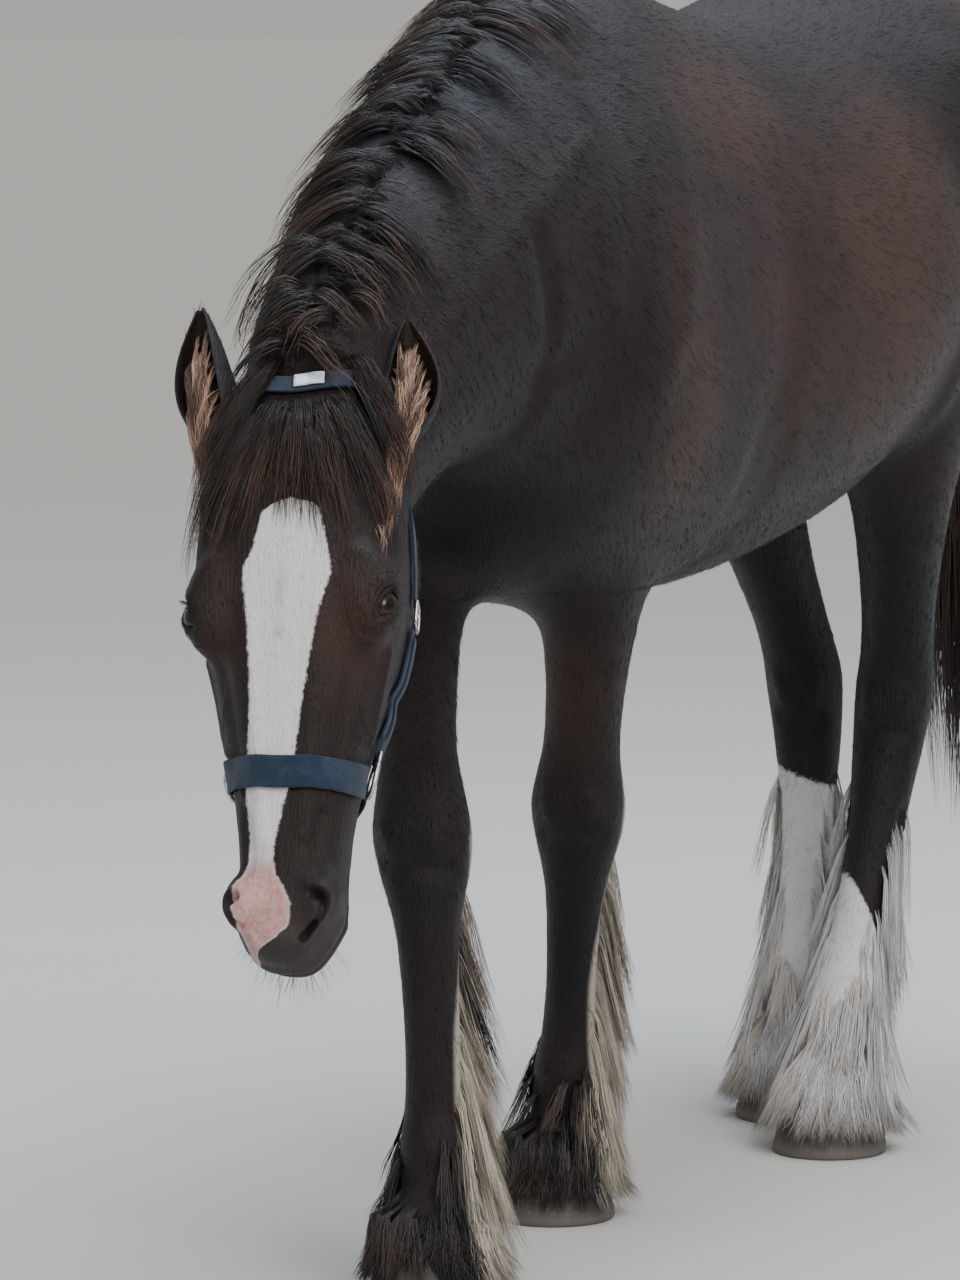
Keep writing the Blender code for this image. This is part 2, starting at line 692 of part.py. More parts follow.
def make_ear(name, hand, nodes, parts, hair, cutters, finish):
    """A rolled leaf with an open front, thickened, with its hair, cut to sit on the head."""
    bm = bmesh.new()
    rows = []
    _, look, across = ear_axes(hand)
    for k in range(7):
        middle, radius, opening = ear_outline(hand, k / 6)
        row = []
        for n in range(7):
            angle = math.radians(opening + (360 - 2 * opening) * n / 6)
            row.append(bm.verts.new(middle + (look * math.cos(angle) + across * math.sin(angle)) * radius))
        rows.append(row)
    for low, high in zip(rows, rows[1:]):
        for n in range(6):
            bm.faces.new((low[n], low[n + 1], high[n + 1], high[n]))
    mesh = bpy.data.meshes.new(name)
    bm.to_mesh(mesh)
    bm.free()
    ear = add_object(name, mesh, parts, finish)
    wall = ear.modifiers.new("Wall", "SOLIDIFY")
    wall.thickness = EAR_WALL
    wall.offset = 0.0
    bake(ear)
    closed = bmesh.new()
    closed.from_mesh(ear.data)
    bmesh.ops.recalc_face_normals(closed, faces=closed.faces)
    closed.to_mesh(ear.data)
    closed.free()
    add_ear_locks(hand, tree_of(nodes["head"]), hair)
    fuse_hair(ear, hair, (nodes["head"], nodes["neck"]), cutters)
    return ear


def add_ear_locks(hand, tree, hair):
    """Long hair that streams down out of an ear."""
    draw = random.Random(13 + hand)
    along, look, across = ear_axes(hand)
    for k in range(EAR_LOCKS):
        middle, radius, _ = ear_outline(hand, 0.25 + 0.25 * k)
        turn = 0.8 * (k - 0.5) + draw.uniform(-0.1, 0.1)
        root = middle + (across * math.sin(turn) - look * math.cos(turn)) * radius
        fall = draw.uniform(0.055, 0.075)
        path = [root, middle + look * radius * 0.4 - along * 0.004,
                middle + look * (radius + 0.006) - along * 0.45 * fall + across * turn * 0.010,
                middle + look * (radius + 0.009) - along * fall + across * turn * 0.016]
        for n in (2, 3):
            near, face, _, _ = tree.find_nearest(path[n])
            lack = 0.008 - (path[n] - near).dot(face)
            path[n] += face * max(lack, 0.0)
        half_width = draw.uniform(*EAR_LOCK_HALF_WIDTH)
        add_object("lock", lock_mesh(path, [look] * len(path), half_width, 0.003), hair)


def swollen(piece, grow):
    """A copy of a closed mesh with its surface moved out a little."""
    bm = bmesh.new()
    bm.from_mesh(piece.data)
    bm.normal_update()
    for vert in bm.verts:
        vert.co += vert.normal * grow * vert.calc_shell_factor()
    return mesh_of(bm, "swollen")


def strap(name, surface, path, width, finish, halter, lift=0.0024, thickness=0.003, steps=2):
    """A flat band laid on the head along a run of aims."""
    parts, cutters, clear_of = halter
    spine = [surface.at(aim) for aim in fair(path, steps)]
    points = [point for point, _ in spine]
    bm = bmesh.new()
    rows = []
    for k, (point, normal) in enumerate(spine):
        before, after = points[max(k - 1, 0)], points[min(k + 1, len(points) - 1)]
        across = (after - before).cross(normal).normalized()
        row = []
        for share in (-0.5, 0.5):
            foot = surface.under(point + across * width * share, normal)
            row.append(bm.verts.new(foot + normal * lift))
        rows.append(row)
    for low, high in zip(rows, rows[1:]):
        bm.faces.new((low[0], low[1], high[1], high[0]))
    bm.normal_update()
    if list(bm.faces)[0].normal.dot(spine[0][1]) < 0:
        bmesh.ops.reverse_faces(bm, faces=bm.faces)
    mesh = bpy.data.meshes.new(name)
    bm.to_mesh(mesh)
    bm.free()
    piece = add_object(name, mesh, parts, finish)
    wall = piece.modifiers.new("Webbing", "SOLIDIFY")
    wall.thickness = thickness
    wall.offset = 1.0
    bake(piece)
    for node in clear_of:
        add_object("swollen", swollen(node, 0.0005), cutters)
    boolean(piece, "DIFFERENCE", cutters)
    keep_largest(piece)


def make_ring(name, surface, aim, parts, finish):
    """A square-shouldered halter ring lying against the cheek."""
    point, normal = surface.at(aim)
    bm = bmesh.new()
    frame = normal.to_track_quat("Z", "Y").to_matrix().to_4x4()
    outlines = []
    for k in range(12):
        turn = 2 * math.pi * k / 12
        middle = Vector((math.cos(turn), math.sin(turn), 0.0)) * RING_RADIUS
        out = middle.normalized()
        outlines.append([middle + out * RING_WIRE * math.cos(n * math.pi / 2)
                         + Vector((0, 0, RING_WIRE * math.sin(n * math.pi / 2))) for n in range(4)])
    rings = [[bm.verts.new(point + normal * 0.0055 + frame.to_3x3() @ spot) for spot in outline]
             for outline in outlines]
    for k, low in enumerate(rings):
        high = rings[(k + 1) % len(rings)]
        for n in range(4):
            bm.faces.new((low[n], low[(n + 1) % 4], high[(n + 1) % 4], high[n]))
    return add_object(name, mesh_of(bm, name), parts, finish)


def make_halter(nodes, parts, cutters, finishes):
    """Webbing straps, rings and buckles, without a lead."""
    surface = HeadSurface(nodes["head"])
    halter = (parts, cutters, (nodes["head"], nodes["neck"]))
    blue, black, silver = finishes["webbing"], finishes["black_webbing"], finishes["fitting"]
    clear = RING_ANGLE + 12
    nose = [round_face(angle, NOSEBAND_DOWN + 0.004 * math.sin(math.radians(angle)))
            for angle in range(clear, 181 - clear, 14)]
    strap("halter_noseband", surface, nose, 0.030, blue, halter)
    chin = [round_face(-angle, NOSEBAND_DOWN + 0.030 * math.sin(math.radians(angle)) ** 2)
            for angle in range(clear, 181 - clear, 14)]
    strap("halter_chin_strap", surface, chin, 0.020, black, halter)
    for hand, side in ((1, "left"), (-1, "right")):
        def on_side(angle, down):
            return round_face(angle if hand > 0 else 180 - angle, down)
        cheek = [on_side(-4, 0.372), on_side(-12, 0.330), on_side(-17, 0.280), on_side(-18, 0.235)]
        strap("halter_cheek_" + side, surface, cheek, 0.024, blue, halter)
        make_ring("halter_ring_" + side, surface, on_side(0, NOSEBAND_DOWN), parts, silver)
        make_buckle("halter_buckle_" + side, surface, on_side(-18, 0.222), parts, silver)
    half = [round_face(-17, 0.208), round_face(-18, 0.150), round_face(-20, 0.100)]
    half += [over_poll(angle) for angle in (0, 30, 60)]
    other = [(aim[0], aim[1], aim[2], -aim[3], aim[4], aim[5]) for aim in reversed(half)]
    strap("halter_crownpiece", surface, half + [over_poll(90)] + other, 0.024, blue, halter)


def make_buckle(name, surface, aim, parts, finish):
    """A plain roller buckle, as one flat frame."""
    point, normal = surface.at(aim)
    side = HEAD_TURN.col[2].cross(normal).normalized()
    along = normal.cross(side)
    bm = bmesh.new()
    middle = point + normal * 0.0050
    frame = Matrix((side, along, normal)).transposed().to_4x4()
    frame = Matrix.Translation(middle) @ frame @ Matrix.Diagonal((0.032, 0.014, 0.004, 1.0))
    bmesh.ops.create_cube(bm, size=1.0, matrix=frame)
    return add_object(name, mesh_of(bm, name), parts, finish)


def lock_mesh(path, facings, half_width, half_thick):
    """A flat tapered lock: low ridged sections along a path, drawn out to a point."""
    bm = bmesh.new()
    last = len(path) - 1
    rings = []
    for k, point in enumerate(path[:-1]):
        along = (path[k + 1] - path[max(k - 1, 0)]).normalized()
        out = facings[k] - along * facings[k].dot(along)
        out = out.normalized() if out.length > 1e-6 else along.orthogonal().normalized()
        across = along.cross(out)
        share = k / last
        width = half_width * (0.75 + 0.4 * math.sin(math.pi * min(share * 1.3, 1.0))) * (1 - share ** 3)
        thick = half_thick * (1 - 0.5 * share)
        rings.append([bm.verts.new(point + across * width - out * thick * 0.5),
                      bm.verts.new(point + out * thick),
                      bm.verts.new(point - across * width - out * thick * 0.5)])
    for low, high in zip(rings, rings[1:]):
        for n in range(3):
            bm.faces.new((low[n], low[(n + 1) % 3], high[(n + 1) % 3], high[n]))
    tip = bm.verts.new(path[-1])
    for n in range(3):
        bm.faces.new((rings[-1][n], rings[-1][(n + 1) % 3], tip))
    bm.faces.new(rings[0][::-1])
    return mesh_of(bm, "lock")


def tree_of(piece):
    bm = bmesh.new()
    bm.from_mesh(piece.data)
    tree = BVHTree.FromBMesh(bm)
    bm.free()
    return tree


def drape(tree, root, normal, way, length, lift, sag, steps=4):
    """A path from a root that lies over a surface and hangs where it falls away."""
    path, facings = [root - normal * ROOT_DEPTH], [normal]
    point, way = root + normal * lift * 0.5, way.normalized()
    for _ in range(steps):
        way = (way + Vector((0, 0, -sag))).normalized()
        point = point + way * length / steps
        near, face, _, _ = tree.find_nearest(point)
        if (point - near).dot(face) < lift:
            point = near + face * lift
            facings.append(face.copy())
        else:
            facings.append(facings[-1])
        path.append(point)
    return path, facings


def fuse_hair(node, hair, clear_of, cutters, solver="MANIFOLD"):
    """Join a node's locks to it, cut them clear of its neighbours, and keep one closed body."""
    boolean(node, "UNION", hair, solver)
    for other in clear_of:
        add_object("swollen", swollen(other, LOCK_GAP), cutters)
    if clear_of:
        boolean(node, "DIFFERENCE", cutters, solver)
    keep_largest(node)


def make_mane(nodes, hair, cutters):
    """Short ragged locks rooted along the crest, most falling to the horse's right."""
    draw = random.Random(11)
    tree = tree_of(nodes["neck"])
    for k in range(MANE_LOCKS):
        share = (k + 0.5) / MANE_LOCKS
        hand = 1 if k % 4 == 1 or share < 0.12 else -1
        over = Vector((-0.012 + hand * 0.012, MANE_START + MANE_RUN * share, 1.6))
        top, normal, _, _ = tree.ray_cast(over, Vector((0, 0, -1)))
        way = Vector((hand, 0.05 + 0.20 * draw.random(), -0.35))
        length = draw.uniform(*MANE_LENGTH) * (0.75 if hand > 0 else 1.0)
        path, facings = drape(tree, top, normal, way, length, 0.006 + 0.003 * (k % 3), 0.45)
        add_object("lock", lock_mesh(path, facings, draw.uniform(*MANE_HALF_WIDTH), 0.006), hair)
    fuse_hair(nodes["neck"], hair, (nodes["torso"],), cutters)


def make_forelock(nodes, hair, cutters, crownpiece):
    """Locks rooted between the ears that fall over the forehead."""
    draw = random.Random(12)
    tree = tree_of(nodes["head"])
    side, ahead, down = (HEAD_TURN.col[k].copy() for k in range(3))
    for k in range(FORELOCK_LOCKS):
        share = (k + 0.5) / FORELOCK_LOCKS * 2 - 1
        row = k % 3
        start = on_head(share * 0.050, 0.20, 0.012 + 0.012 * row)
        root, normal, _, _ = tree.ray_cast(start, -ahead)
        way = down + side * (share * 0.50 + draw.uniform(-0.12, 0.12)) + ahead * 0.1
        length = (FORELOCK_LENGTH - 0.035 * abs(share)) * draw.uniform(0.85, 1.1)
        path, facings = drape(tree, root, normal, way, length, 0.006 + 0.004 * (2 - row), 0.0)
        add_object("lock", lock_mesh(path, facings, draw.uniform(*FORELOCK_HALF_WIDTH), 0.0045), hair)
    fuse_hair(nodes["head"], hair, (crownpiece,), cutters)


def make_tail(nodes, hair, cutters):
    """A short core under the dock, with long wavy locks round it."""
    draw = random.Random(14)
    drops = [-row[2] for row in TAIL_LINE]
    bm = bmesh.new()
    side = Vector((1.0, 0.0, 0.0))
    outlines = []
    for x, y, z, reach in TAIL_LINE:
        if reach:
            point, half = Vector((x, y, z)), Vector((0, reach, 0))
            outlines.append(section(point - half, point + half, reach * 1.1, side))
    skin_over(bm, outlines)
    add_object("core", mesh_of(bm, "core"), hair)
    for k in range(TAIL_LOCKS):
        angle = k * 2.4 + draw.uniform(-0.2, 0.2)
        out = Vector((math.cos(angle), math.sin(angle), 0.0))
        z = 1.265 - 0.42 * (k / TAIL_LOCKS) ** 1.2
        x, y = [np.interp(-z, drops, [row[n] for row in TAIL_LINE]) for n in range(2)]
        length = draw.uniform(0.55, 0.75) if k % 3 else draw.uniform(0.35, 0.48)
        end = max(z - length, TAIL_END + 0.12 * draw.random())
        wave = draw.uniform(-0.012, 0.012)
        path = []
        for n in range(5):
            share = n / 4
            spread = 0.026 + 0.050 * math.sin(math.pi * (0.85 * share + 0.05)) - 0.010 * share if n else 0.016
            sway = Vector((math.sin(share * 9), math.cos(share * 7), 0.0)) * wave
            path.append(Vector((x, y, z + (end - z) * share ** 1.1)) + out * spread + sway)
        add_object("lock", lock_mesh(path, [out] * 5, draw.uniform(*TAIL_HALF_WIDTH), 0.009), hair)
    fuse_hair(nodes["tail"], hair, (nodes["torso"],), cutters)


def leg_centre(joints, z):
    """The middle of a leg at a height."""
    rows = joints[::-1]
    heights = [joint[2] for joint in rows]
    return Vector((np.interp(z, heights, [joint[0] for joint in rows]),
                   np.interp(z, heights, [joint[1] for joint in rows]), z))


def make_feather(name, joints, top, nodes, hair, cutters, seed):
    """Long locks from the back of the cannon and all round the pastern, down over the hoof."""
    draw = random.Random(seed)
    tree = tree_of(nodes["cannon_" + name])
    level = leg_spot(joints, top)[0].z - ROOT_DEPTH
    for share, angles, fall, reach in FEATHER:
        for angle in angles:
            turn = math.radians(angle + draw.uniform(-7, 7))
            out = Vector((math.sin(turn), -math.cos(turn), 0.0))
            z = level * (1 - share) + draw.uniform(-0.008, 0.008)
            end = max(z - fall * draw.uniform(0.9, 1.15), FLOOR_GAP + 0.010 * draw.random())
            root, _, _, _ = tree.ray_cast(leg_centre(joints, z) + out * 0.3, -out)
            start = (root - leg_centre(joints, z)).length
            behind = 0.5 - 0.5 * math.cos(turn)
            tip = reach * draw.uniform(0.9, 1.08) * (0.86 + 0.22 * behind)
            path = [leg_centre(joints, z) + out * (start - ROOT_DEPTH)]
            for n in range(1, 4):
                run = n / 3
                away = start + 0.004 + (tip - start) * math.sin(run * math.pi / 2)
                path.append(leg_centre(joints, z + (end - z) * run) + out * away)
            add_object("lock", lock_mesh(path, [out] * 4, draw.uniform(*FEATHER_HALF_WIDTH), 0.006), hair)
    fuse_hair(nodes["cannon_" + name], hair, (nodes["hoof_" + name],), cutters)


def new_collection(name):
    collection = bpy.data.collections.new(name)
    bpy.context.scene.collection.children.link(collection)
    return collection


def main():
    for piece in list(bpy.data.objects):
        bpy.data.objects.remove(piece)
    parts = new_collection("irish_cob")
    cutters = new_collection("cutters")
    hair = new_collection("hair")
    finishes = {
        "coat": material("coat", (0.030, 0.020, 0.016), 0.6),
        "horn": material("horn", (0.12, 0.11, 0.10), 0.55),
        "eye": material("eye", (0.012, 0.008, 0.006), 0.08),
        "webbing": material("webbing", (0.045, 0.11, 0.18), 0.7),
        "black_webbing": material("black_webbing", (0.015, 0.015, 0.017), 0.7),
        "fitting": material("fitting", (0.62, 0.63, 0.65), 0.3, 1.0),
    }
    flesh = make_flesh(parts)
    nodes = part_body(flesh, parts, cutters, finishes)
    for name, (joints, _) in zip(LEG_NAMES, LEGS):
        nodes["hoof_" + name] = make_hoof("hoof_" + name, joints, parts, finishes["horn"])
    make_eyes(nodes, parts, cutters, finishes["eye"])
    carve_mouth_and_nostrils(nodes["head"], cutters)
    for hand, name in ((1, "ear_left"), (-1, "ear_right")):
        nodes[name] = make_ear(name, hand, nodes, parts, hair, cutters, finishes["coat"])
    make_halter(nodes, parts, cutters, finishes)
    make_mane(nodes, hair, cutters)
    make_forelock(nodes, hair, cutters, parts.objects["halter_crownpiece"])
    make_tail(nodes, hair, cutters)
    for k, (name, (joints, table)) in enumerate(zip(LEG_NAMES, LEGS)):
        top = BELOW_KNEE if table is FORELEG else BELOW_HOCK
        make_feather(name, joints, top, nodes, hair, cutters, 20 + k)
    for piece in parts.objects:
        piece.data.transform(Matrix.Translation(-CENTRE))


main()
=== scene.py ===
"""Irish cob standing with its head lowered, dressed in skin, coat, long hair and halter.

Shapes are worked out in the maker's frame, whose origin lies on the floor below the horse's
shoulders. Each finished piece is moved by -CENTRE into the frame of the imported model.
"""
import math
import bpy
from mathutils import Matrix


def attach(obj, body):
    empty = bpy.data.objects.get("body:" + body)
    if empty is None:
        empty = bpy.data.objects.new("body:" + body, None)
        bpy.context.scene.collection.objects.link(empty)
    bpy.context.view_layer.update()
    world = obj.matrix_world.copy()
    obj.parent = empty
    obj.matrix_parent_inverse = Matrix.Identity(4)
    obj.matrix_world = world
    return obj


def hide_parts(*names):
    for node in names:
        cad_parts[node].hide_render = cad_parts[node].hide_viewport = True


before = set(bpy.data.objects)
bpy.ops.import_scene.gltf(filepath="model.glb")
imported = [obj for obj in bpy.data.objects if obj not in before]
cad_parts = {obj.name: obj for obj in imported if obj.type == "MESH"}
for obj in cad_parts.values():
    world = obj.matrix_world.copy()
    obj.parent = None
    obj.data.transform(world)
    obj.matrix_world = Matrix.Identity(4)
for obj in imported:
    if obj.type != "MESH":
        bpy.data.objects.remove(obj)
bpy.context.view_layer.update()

from types import SimpleNamespace

import bmesh
import bpy
import numpy as np
from mathutils import Matrix, Vector
from mathutils.bvhtree import BVHTree
from numpy.polynomial import polynomial

bl_info = {
    "name": "Irish Cob",
    "version": (1, 0, 0),
    "blender": (4, 5, 0),
    "location": "3D View > Sidebar > Irish Cob",
    "description": "Dresses a life-size irish cob over its packed solids",
    "category": "Add Mesh",
}

CENTRE = Vector((0.0909, 0.2413, 0.0))
LEG_NAMES = ("fore_left", "fore_right", "hind_left", "hind_right")
FLESH_NODES = ["head", "neck", "torso", "ear_left", "ear_right"]
FLESH_NODES += ["leg_" + name for name in LEG_NAMES] + ["cannon_" + name for name in LEG_NAMES]

# What lies ahead of this y is head, and what lies below this height is leg
HEAD_Y = -0.62
LEG_HEIGHT = 0.7

# Where the skin's mesh is made finer: ahead of this y, then within these distances
FACE_Y = -0.66
NEAR_MUZZLE, NEAR_EYE, NEAR_NOSTRIL = 0.085, 0.045, 0.038

# Sizes of the flesh, as in the solids
SIDES = 20
VOXEL = 0.007
BEND_START = 0.0
BEND_FULL = 0.55
BEND_SLOPE = 0.25
POLL = Vector((-0.045, -0.7, 0.985))
MUZZLE = Vector((0.009, -0.965, 0.431))
HEAD_YAW = math.radians(2)
EYE_RADIUS = 0.0205
CORNEA_RISE = 0.0008
EYE_AT = (0.088, -0.004, 0.246)
EYE_HALF_LONG = 0.0168
EYE_HALF_HIGH = 0.0088
HOOF_TOP = 0.057
HOOF_BASE = 0.07
HOOF_SIDES = 48
HOOF_INSET = 0.985
CORONET_SLOPE = 0.27 / 0.963

# Joints of each leg from the top down to the coronet, then the middle of its sole
FORE_LEFT = [(0.095, 0.03, 0.8), (0.064, 0.072, 0.47), (0.04, 0.125, 0.165),
             (0.031, 0.112, 0.072), (0.03, 0.105, 0.0)]
FORE_RIGHT = [(-0.105, -0.03, 0.8), (-0.012, -0.33, 0.485), (0.014, -0.372, 0.16),
              (0.02, -0.408, 0.072), (0.022, -0.415, 0.0)]
HIND_LEFT = [(0.29, 0.96, 1.12), (0.3, 0.78, 0.89), (0.27, 0.89, 0.52),
             (0.252, 0.69, 0.18), (0.249, 0.625, 0.072), (0.249, 0.605, 0.0)]
HIND_RIGHT = [(0.075, 0.99, 1.12), (0.065, 0.85, 0.89), (0.13, 1.03, 0.52),
              (0.15, 0.905, 0.175), (0.154, 0.855, 0.072), (0.155, 0.84, 0.0)]

# Trunk sections: y, top, bottom, half width, widest, how pointed above and below
TRUNK = [
    (-0.285, 1.11, 0.95, 0.095, 0.0, 0.9, 0.9),
    (-0.255, 1.19, 0.87, 0.16, 0.0, 0.9, 0.9),
    (-0.18, 1.27, 0.775, 0.208, -0.1, 1.0, 0.8),
    (-0.06, 1.345, 0.712, 0.24, -0.15, 1.1, 0.8),
    (0.08, 1.412, 0.69, 0.258, -0.2, 1.4, 0.8),
    (0.21, 1.428, 0.686, 0.274, -0.2, 1.5, 0.8),
    (0.34, 1.395, 0.69, 0.292, -0.18, 1.3, 0.8),
    (0.48, 1.365, 0.705, 0.305, -0.12, 1.1, 0.8),
    (0.62, 1.357, 0.73, 0.308, -0.06, 1.0, 0.85),
    (0.76, 1.378, 0.775, 0.296, 0.02, 1.0, 0.9),
    (0.9, 1.408, 0.84, 0.276, 0.1, 0.9, 1.0),
    (1.02, 1.412, 0.9, 0.264, 0.12, 0.9, 1.0),
    (1.13, 1.375, 0.95, 0.238, 0.05, 0.9, 1.0),
    (1.22, 1.305, 1.0, 0.185, 0.0, 0.9, 1.0),
    (1.268, 1.22, 1.06, 0.1, 0.0, 1.0, 1.0),
]

# Neck sections: top y, top z, bottom y, bottom z, x, half width, how pointed above and below
NECK = [
    (0.17, 1.415, -0.06, 0.74, 0.0, 0.205, 1.4, 0.9),
    (-0.07, 1.365, -0.225, 0.835, -0.004, 0.188, 1.3, 0.9),
    (-0.26, 1.295, -0.335, 0.868, -0.013, 0.16, 1.2, 0.9),
    (-0.435, 1.208, -0.43, 0.862, -0.022, 0.133, 1.1, 0.9),
    (-0.585, 1.11, -0.51, 0.828, -0.033, 0.11, 1.0, 0.9),
    (-0.68, 1.025, -0.58, 0.795, -0.04, 0.09, 0.9, 0.9),
]

# Head sections down the face: distance, front, back, half width, widest, how pointed each way
HEAD = [
    (-0.03, -0.02, -0.13, 0.066, 0.1, 0.9, 0.9),
    (0.01, 0.004, -0.165, 0.078, 0.2, 0.8, 0.9),
    (0.06, 0.024, -0.195, 0.09, 0.3, 0.8, 1.0),
    (0.13, 0.037, -0.22, 0.101, 0.3, 0.7, 1.1),
    (0.2, 0.04, -0.232, 0.105, 0.3, 0.7, 1.2),
    (0.26, 0.034, -0.226, 0.1, 0.3, 0.7, 1.2),
    (0.32, 0.025, -0.192, 0.086, 0.2, 0.7, 1.1),
    (0.38, 0.018, -0.155, 0.073, 0.2, 0.7, 1.0),
    (0.44, 0.013, -0.13, 0.062, 0.1, 0.7, 0.9),
    (0.5, 0.011, -0.118, 0.055, 0.1, 0.7, 0.8),
    (0.55, 0.008, -0.11, 0.057, 0.1, 0.7, 0.8),
    (0.585, -0.006, -0.1, 0.05, 0.0, 0.7, 0.8),
    (0.608, -0.026, -0.086, 0.036, 0.0, 0.8, 0.8),
    (0.618, -0.044, -0.07, 0.02, 0.0, 0.9, 0.9),
]

# Leg sections: how far down its joints, reach to the front and back, half width
FORELEG = [
    (-0.3, 0.15, 0.13, 0.086), (0.0, 0.1, 0.108, 0.076), (0.25, 0.076, 0.078, 0.065),
    (0.5, 0.058, 0.058, 0.052), (0.75, 0.047, 0.046, 0.045), (0.9, 0.05, 0.046, 0.052),
    (1.0, 0.052, 0.054, 0.056), (1.12, 0.042, 0.054, 0.05), (1.3, 0.033, 0.041, 0.036),
    (1.6, 0.031, 0.04, 0.032), (1.85, 0.034, 0.045, 0.036), (2.0, 0.042, 0.052, 0.042),
    (2.35, 0.038, 0.042, 0.039), (2.7, 0.045, 0.042, 0.045), (3.0, 0.058, 0.052, 0.056),
    (3.4, 0.06, 0.05, 0.057),
]
HIND_LEG = [
    (-0.2, 0.21, 0.2, 0.12), (0.0, 0.2, 0.22, 0.128), (0.5, 0.145, 0.205, 0.118),
    (0.85, 0.095, 0.175, 0.102), (1.1, 0.078, 0.14, 0.088), (1.4, 0.07, 0.092, 0.067),
    (1.7, 0.053, 0.062, 0.051), (1.88, 0.049, 0.064, 0.048), (2.0, 0.051, 0.068, 0.05),
    (2.15, 0.046, 0.056, 0.046), (2.4, 0.038, 0.045, 0.037), (2.7, 0.034, 0.043, 0.034),
    (2.9, 0.038, 0.047, 0.039), (3.0, 0.044, 0.052, 0.044), (3.35, 0.039, 0.043, 0.041),
    (3.7, 0.046, 0.042, 0.046), (4.0, 0.058, 0.052, 0.056), (4.4, 0.06, 0.05, 0.057),
]
LEGS = dict(zip(LEG_NAMES, ((FORE_LEFT, FORELEG), (FORE_RIGHT, FORELEG),
                            (HIND_LEFT, HIND_LEG), (HIND_RIGHT, HIND_LEG))))
BELOW_KNEE = 1.24
BELOW_HOCK = 2.26

# Muscles on both sides: half spread from the spine, y, z, then radii
TRUNK_MUSCLES = [
    ((0.08, -0.215, 0.99), (0.095, 0.085, 0.15)),
    ((0.126, -0.09, 1.0), (0.094, 0.15, 0.21)),
    ((0.152, 0.08, 0.92), (0.096, 0.16, 0.17)),
    ((0.135, 0.88, 1.28), (0.085, 0.15, 0.08)),
    ((0.112, 1.08, 1.11), (0.105, 0.125, 0.17)),
]
DOCK = [(1.18, 1.33, 0.04), (1.262, 1.3, 0.032), (1.325, 1.24, 0.024), (1.35, 1.15, 0.018)]
HEAD_MUSCLES = [
    ((0.052, -0.135, 0.15), (0.044, 0.09, 0.095)),
    ((0.077, -0.004, 0.24), (0.034, 0.036, 0.052)),
    ((0.066, 0.014, 0.216), (0.03, 0.02, 0.04)),
    ((0.07, -0.058, 0.3), (0.016, 0.014, 0.075)),
    ((0.041, -0.014, 0.545), (0.022, 0.032, 0.036)),
]
MUZZLE_FORMS = [
    ((0.0, -0.034, 0.588), (0.044, 0.034, 0.032)),
    ((0.0, -0.088, 0.572), (0.033, 0.03, 0.04)),
]

# Ears: root and tip on the left and right, as left, out of the face and down the face,
# then the share of the length, radius and half angle of the opening
EAR_ENDS = {1: ((0.078, -0.04, 0.064), (0.098, -0.058, -0.084)),
            -1: ((-0.08, -0.04, 0.048), (-0.12, -0.058, -0.114))}
EAR_ROWS = [(-0.12, 0.023, 10), (0.0, 0.022, 18), (0.15, 0.027, 44), (0.4, 0.031, 58),
            (0.65, 0.026, 64), (0.85, 0.015, 68), (1.0, 0.003, 70)]
EAR_WALL = 0.0028
EAR_SIDES = 24

# Lines drawn into the skin: width, height, then left, out of the face, and down the face
HEAD_LINES = [
    (0.008, 0.004, ((0.09, -0.04, 0.28), (0.076, -0.048, 0.325), (0.064, -0.05, 0.37))),
    (0.01, 0.0025, ((0.074, 0.03, 0.198), (0.092, 0.022, 0.22), (0.098, 0.01, 0.252))),
    (0.02, 0.003, ((0.074, 0.012, 0.14), (0.08, 0.01, 0.18))),
    (0.028, 0.007, ((0.094, -0.03, 0.105), (0.098, -0.014, 0.195))),
    (0.016, -0.005, ((0.064, -0.004, 0.3), (0.054, -0.002, 0.4))),
    (0.009, 0.0025, ((0.036, 0.034, 0.25), (0.028, 0.02, 0.4), (0.024, 0.014, 0.48))),
    (0.011, -0.0045, ((0.078, -0.09, 0.31), (0.07, -0.13, 0.3), (0.045, -0.18, 0.275))),
    (0.013, -0.004, ((0.06, -0.085, 0.36), (0.05, -0.085, 0.46))),
    (0.0032, 0.0018, ((0.07, -0.074, 0.32), (0.062, -0.04, 0.362), (0.052, -0.012, 0.405),
                      (0.044, 0.0, 0.435))),
    (0.003, 0.0015, ((0.062, -0.04, 0.362), (0.062, -0.012, 0.325), (0.064, 0.0, 0.295))),
    (0.01, -0.004, ((0.044, 0.002, 0.462), (0.038, 0.01, 0.512))),
    (0.018, 0.006, ((0.066, -0.05, 0.07), (0.08, -0.07, 0.11))),
    (0.004, -0.002, ((0.05, -0.064, 0.528), (0.053, -0.054, 0.506))),
]
# The crescent of the nostril, on the left side: left and down
NOSTRIL = ((0.035, 0.543), (0.046, 0.548), (0.0515, 0.562), (0.05, 0.58), (0.039, 0.598))
NOSTRIL_ASIDE = {1: 1.0, -1: 1.25}
NOSTRIL_DEEP = 0.018
NOSTRIL_WIDTH = 0.0036
MOUTH_FRONT = -0.068
MOUTH_DOWN = 0.545
MOUTH_HALF_WIDE = 0.06
MOUTH_REACH = 0.07
MOUTH_DEEP = 0.005
LIP_ROLL = 0.003
LIP_AWAY = 0.013
# The lips and chin are drawn up below this place on the face, by a share, and in on each side
SHORTER_BELOW = 0.555
SHORTER_SHARE = 0.24
NARROWER = {"left": 0.26, "right": 0.05}

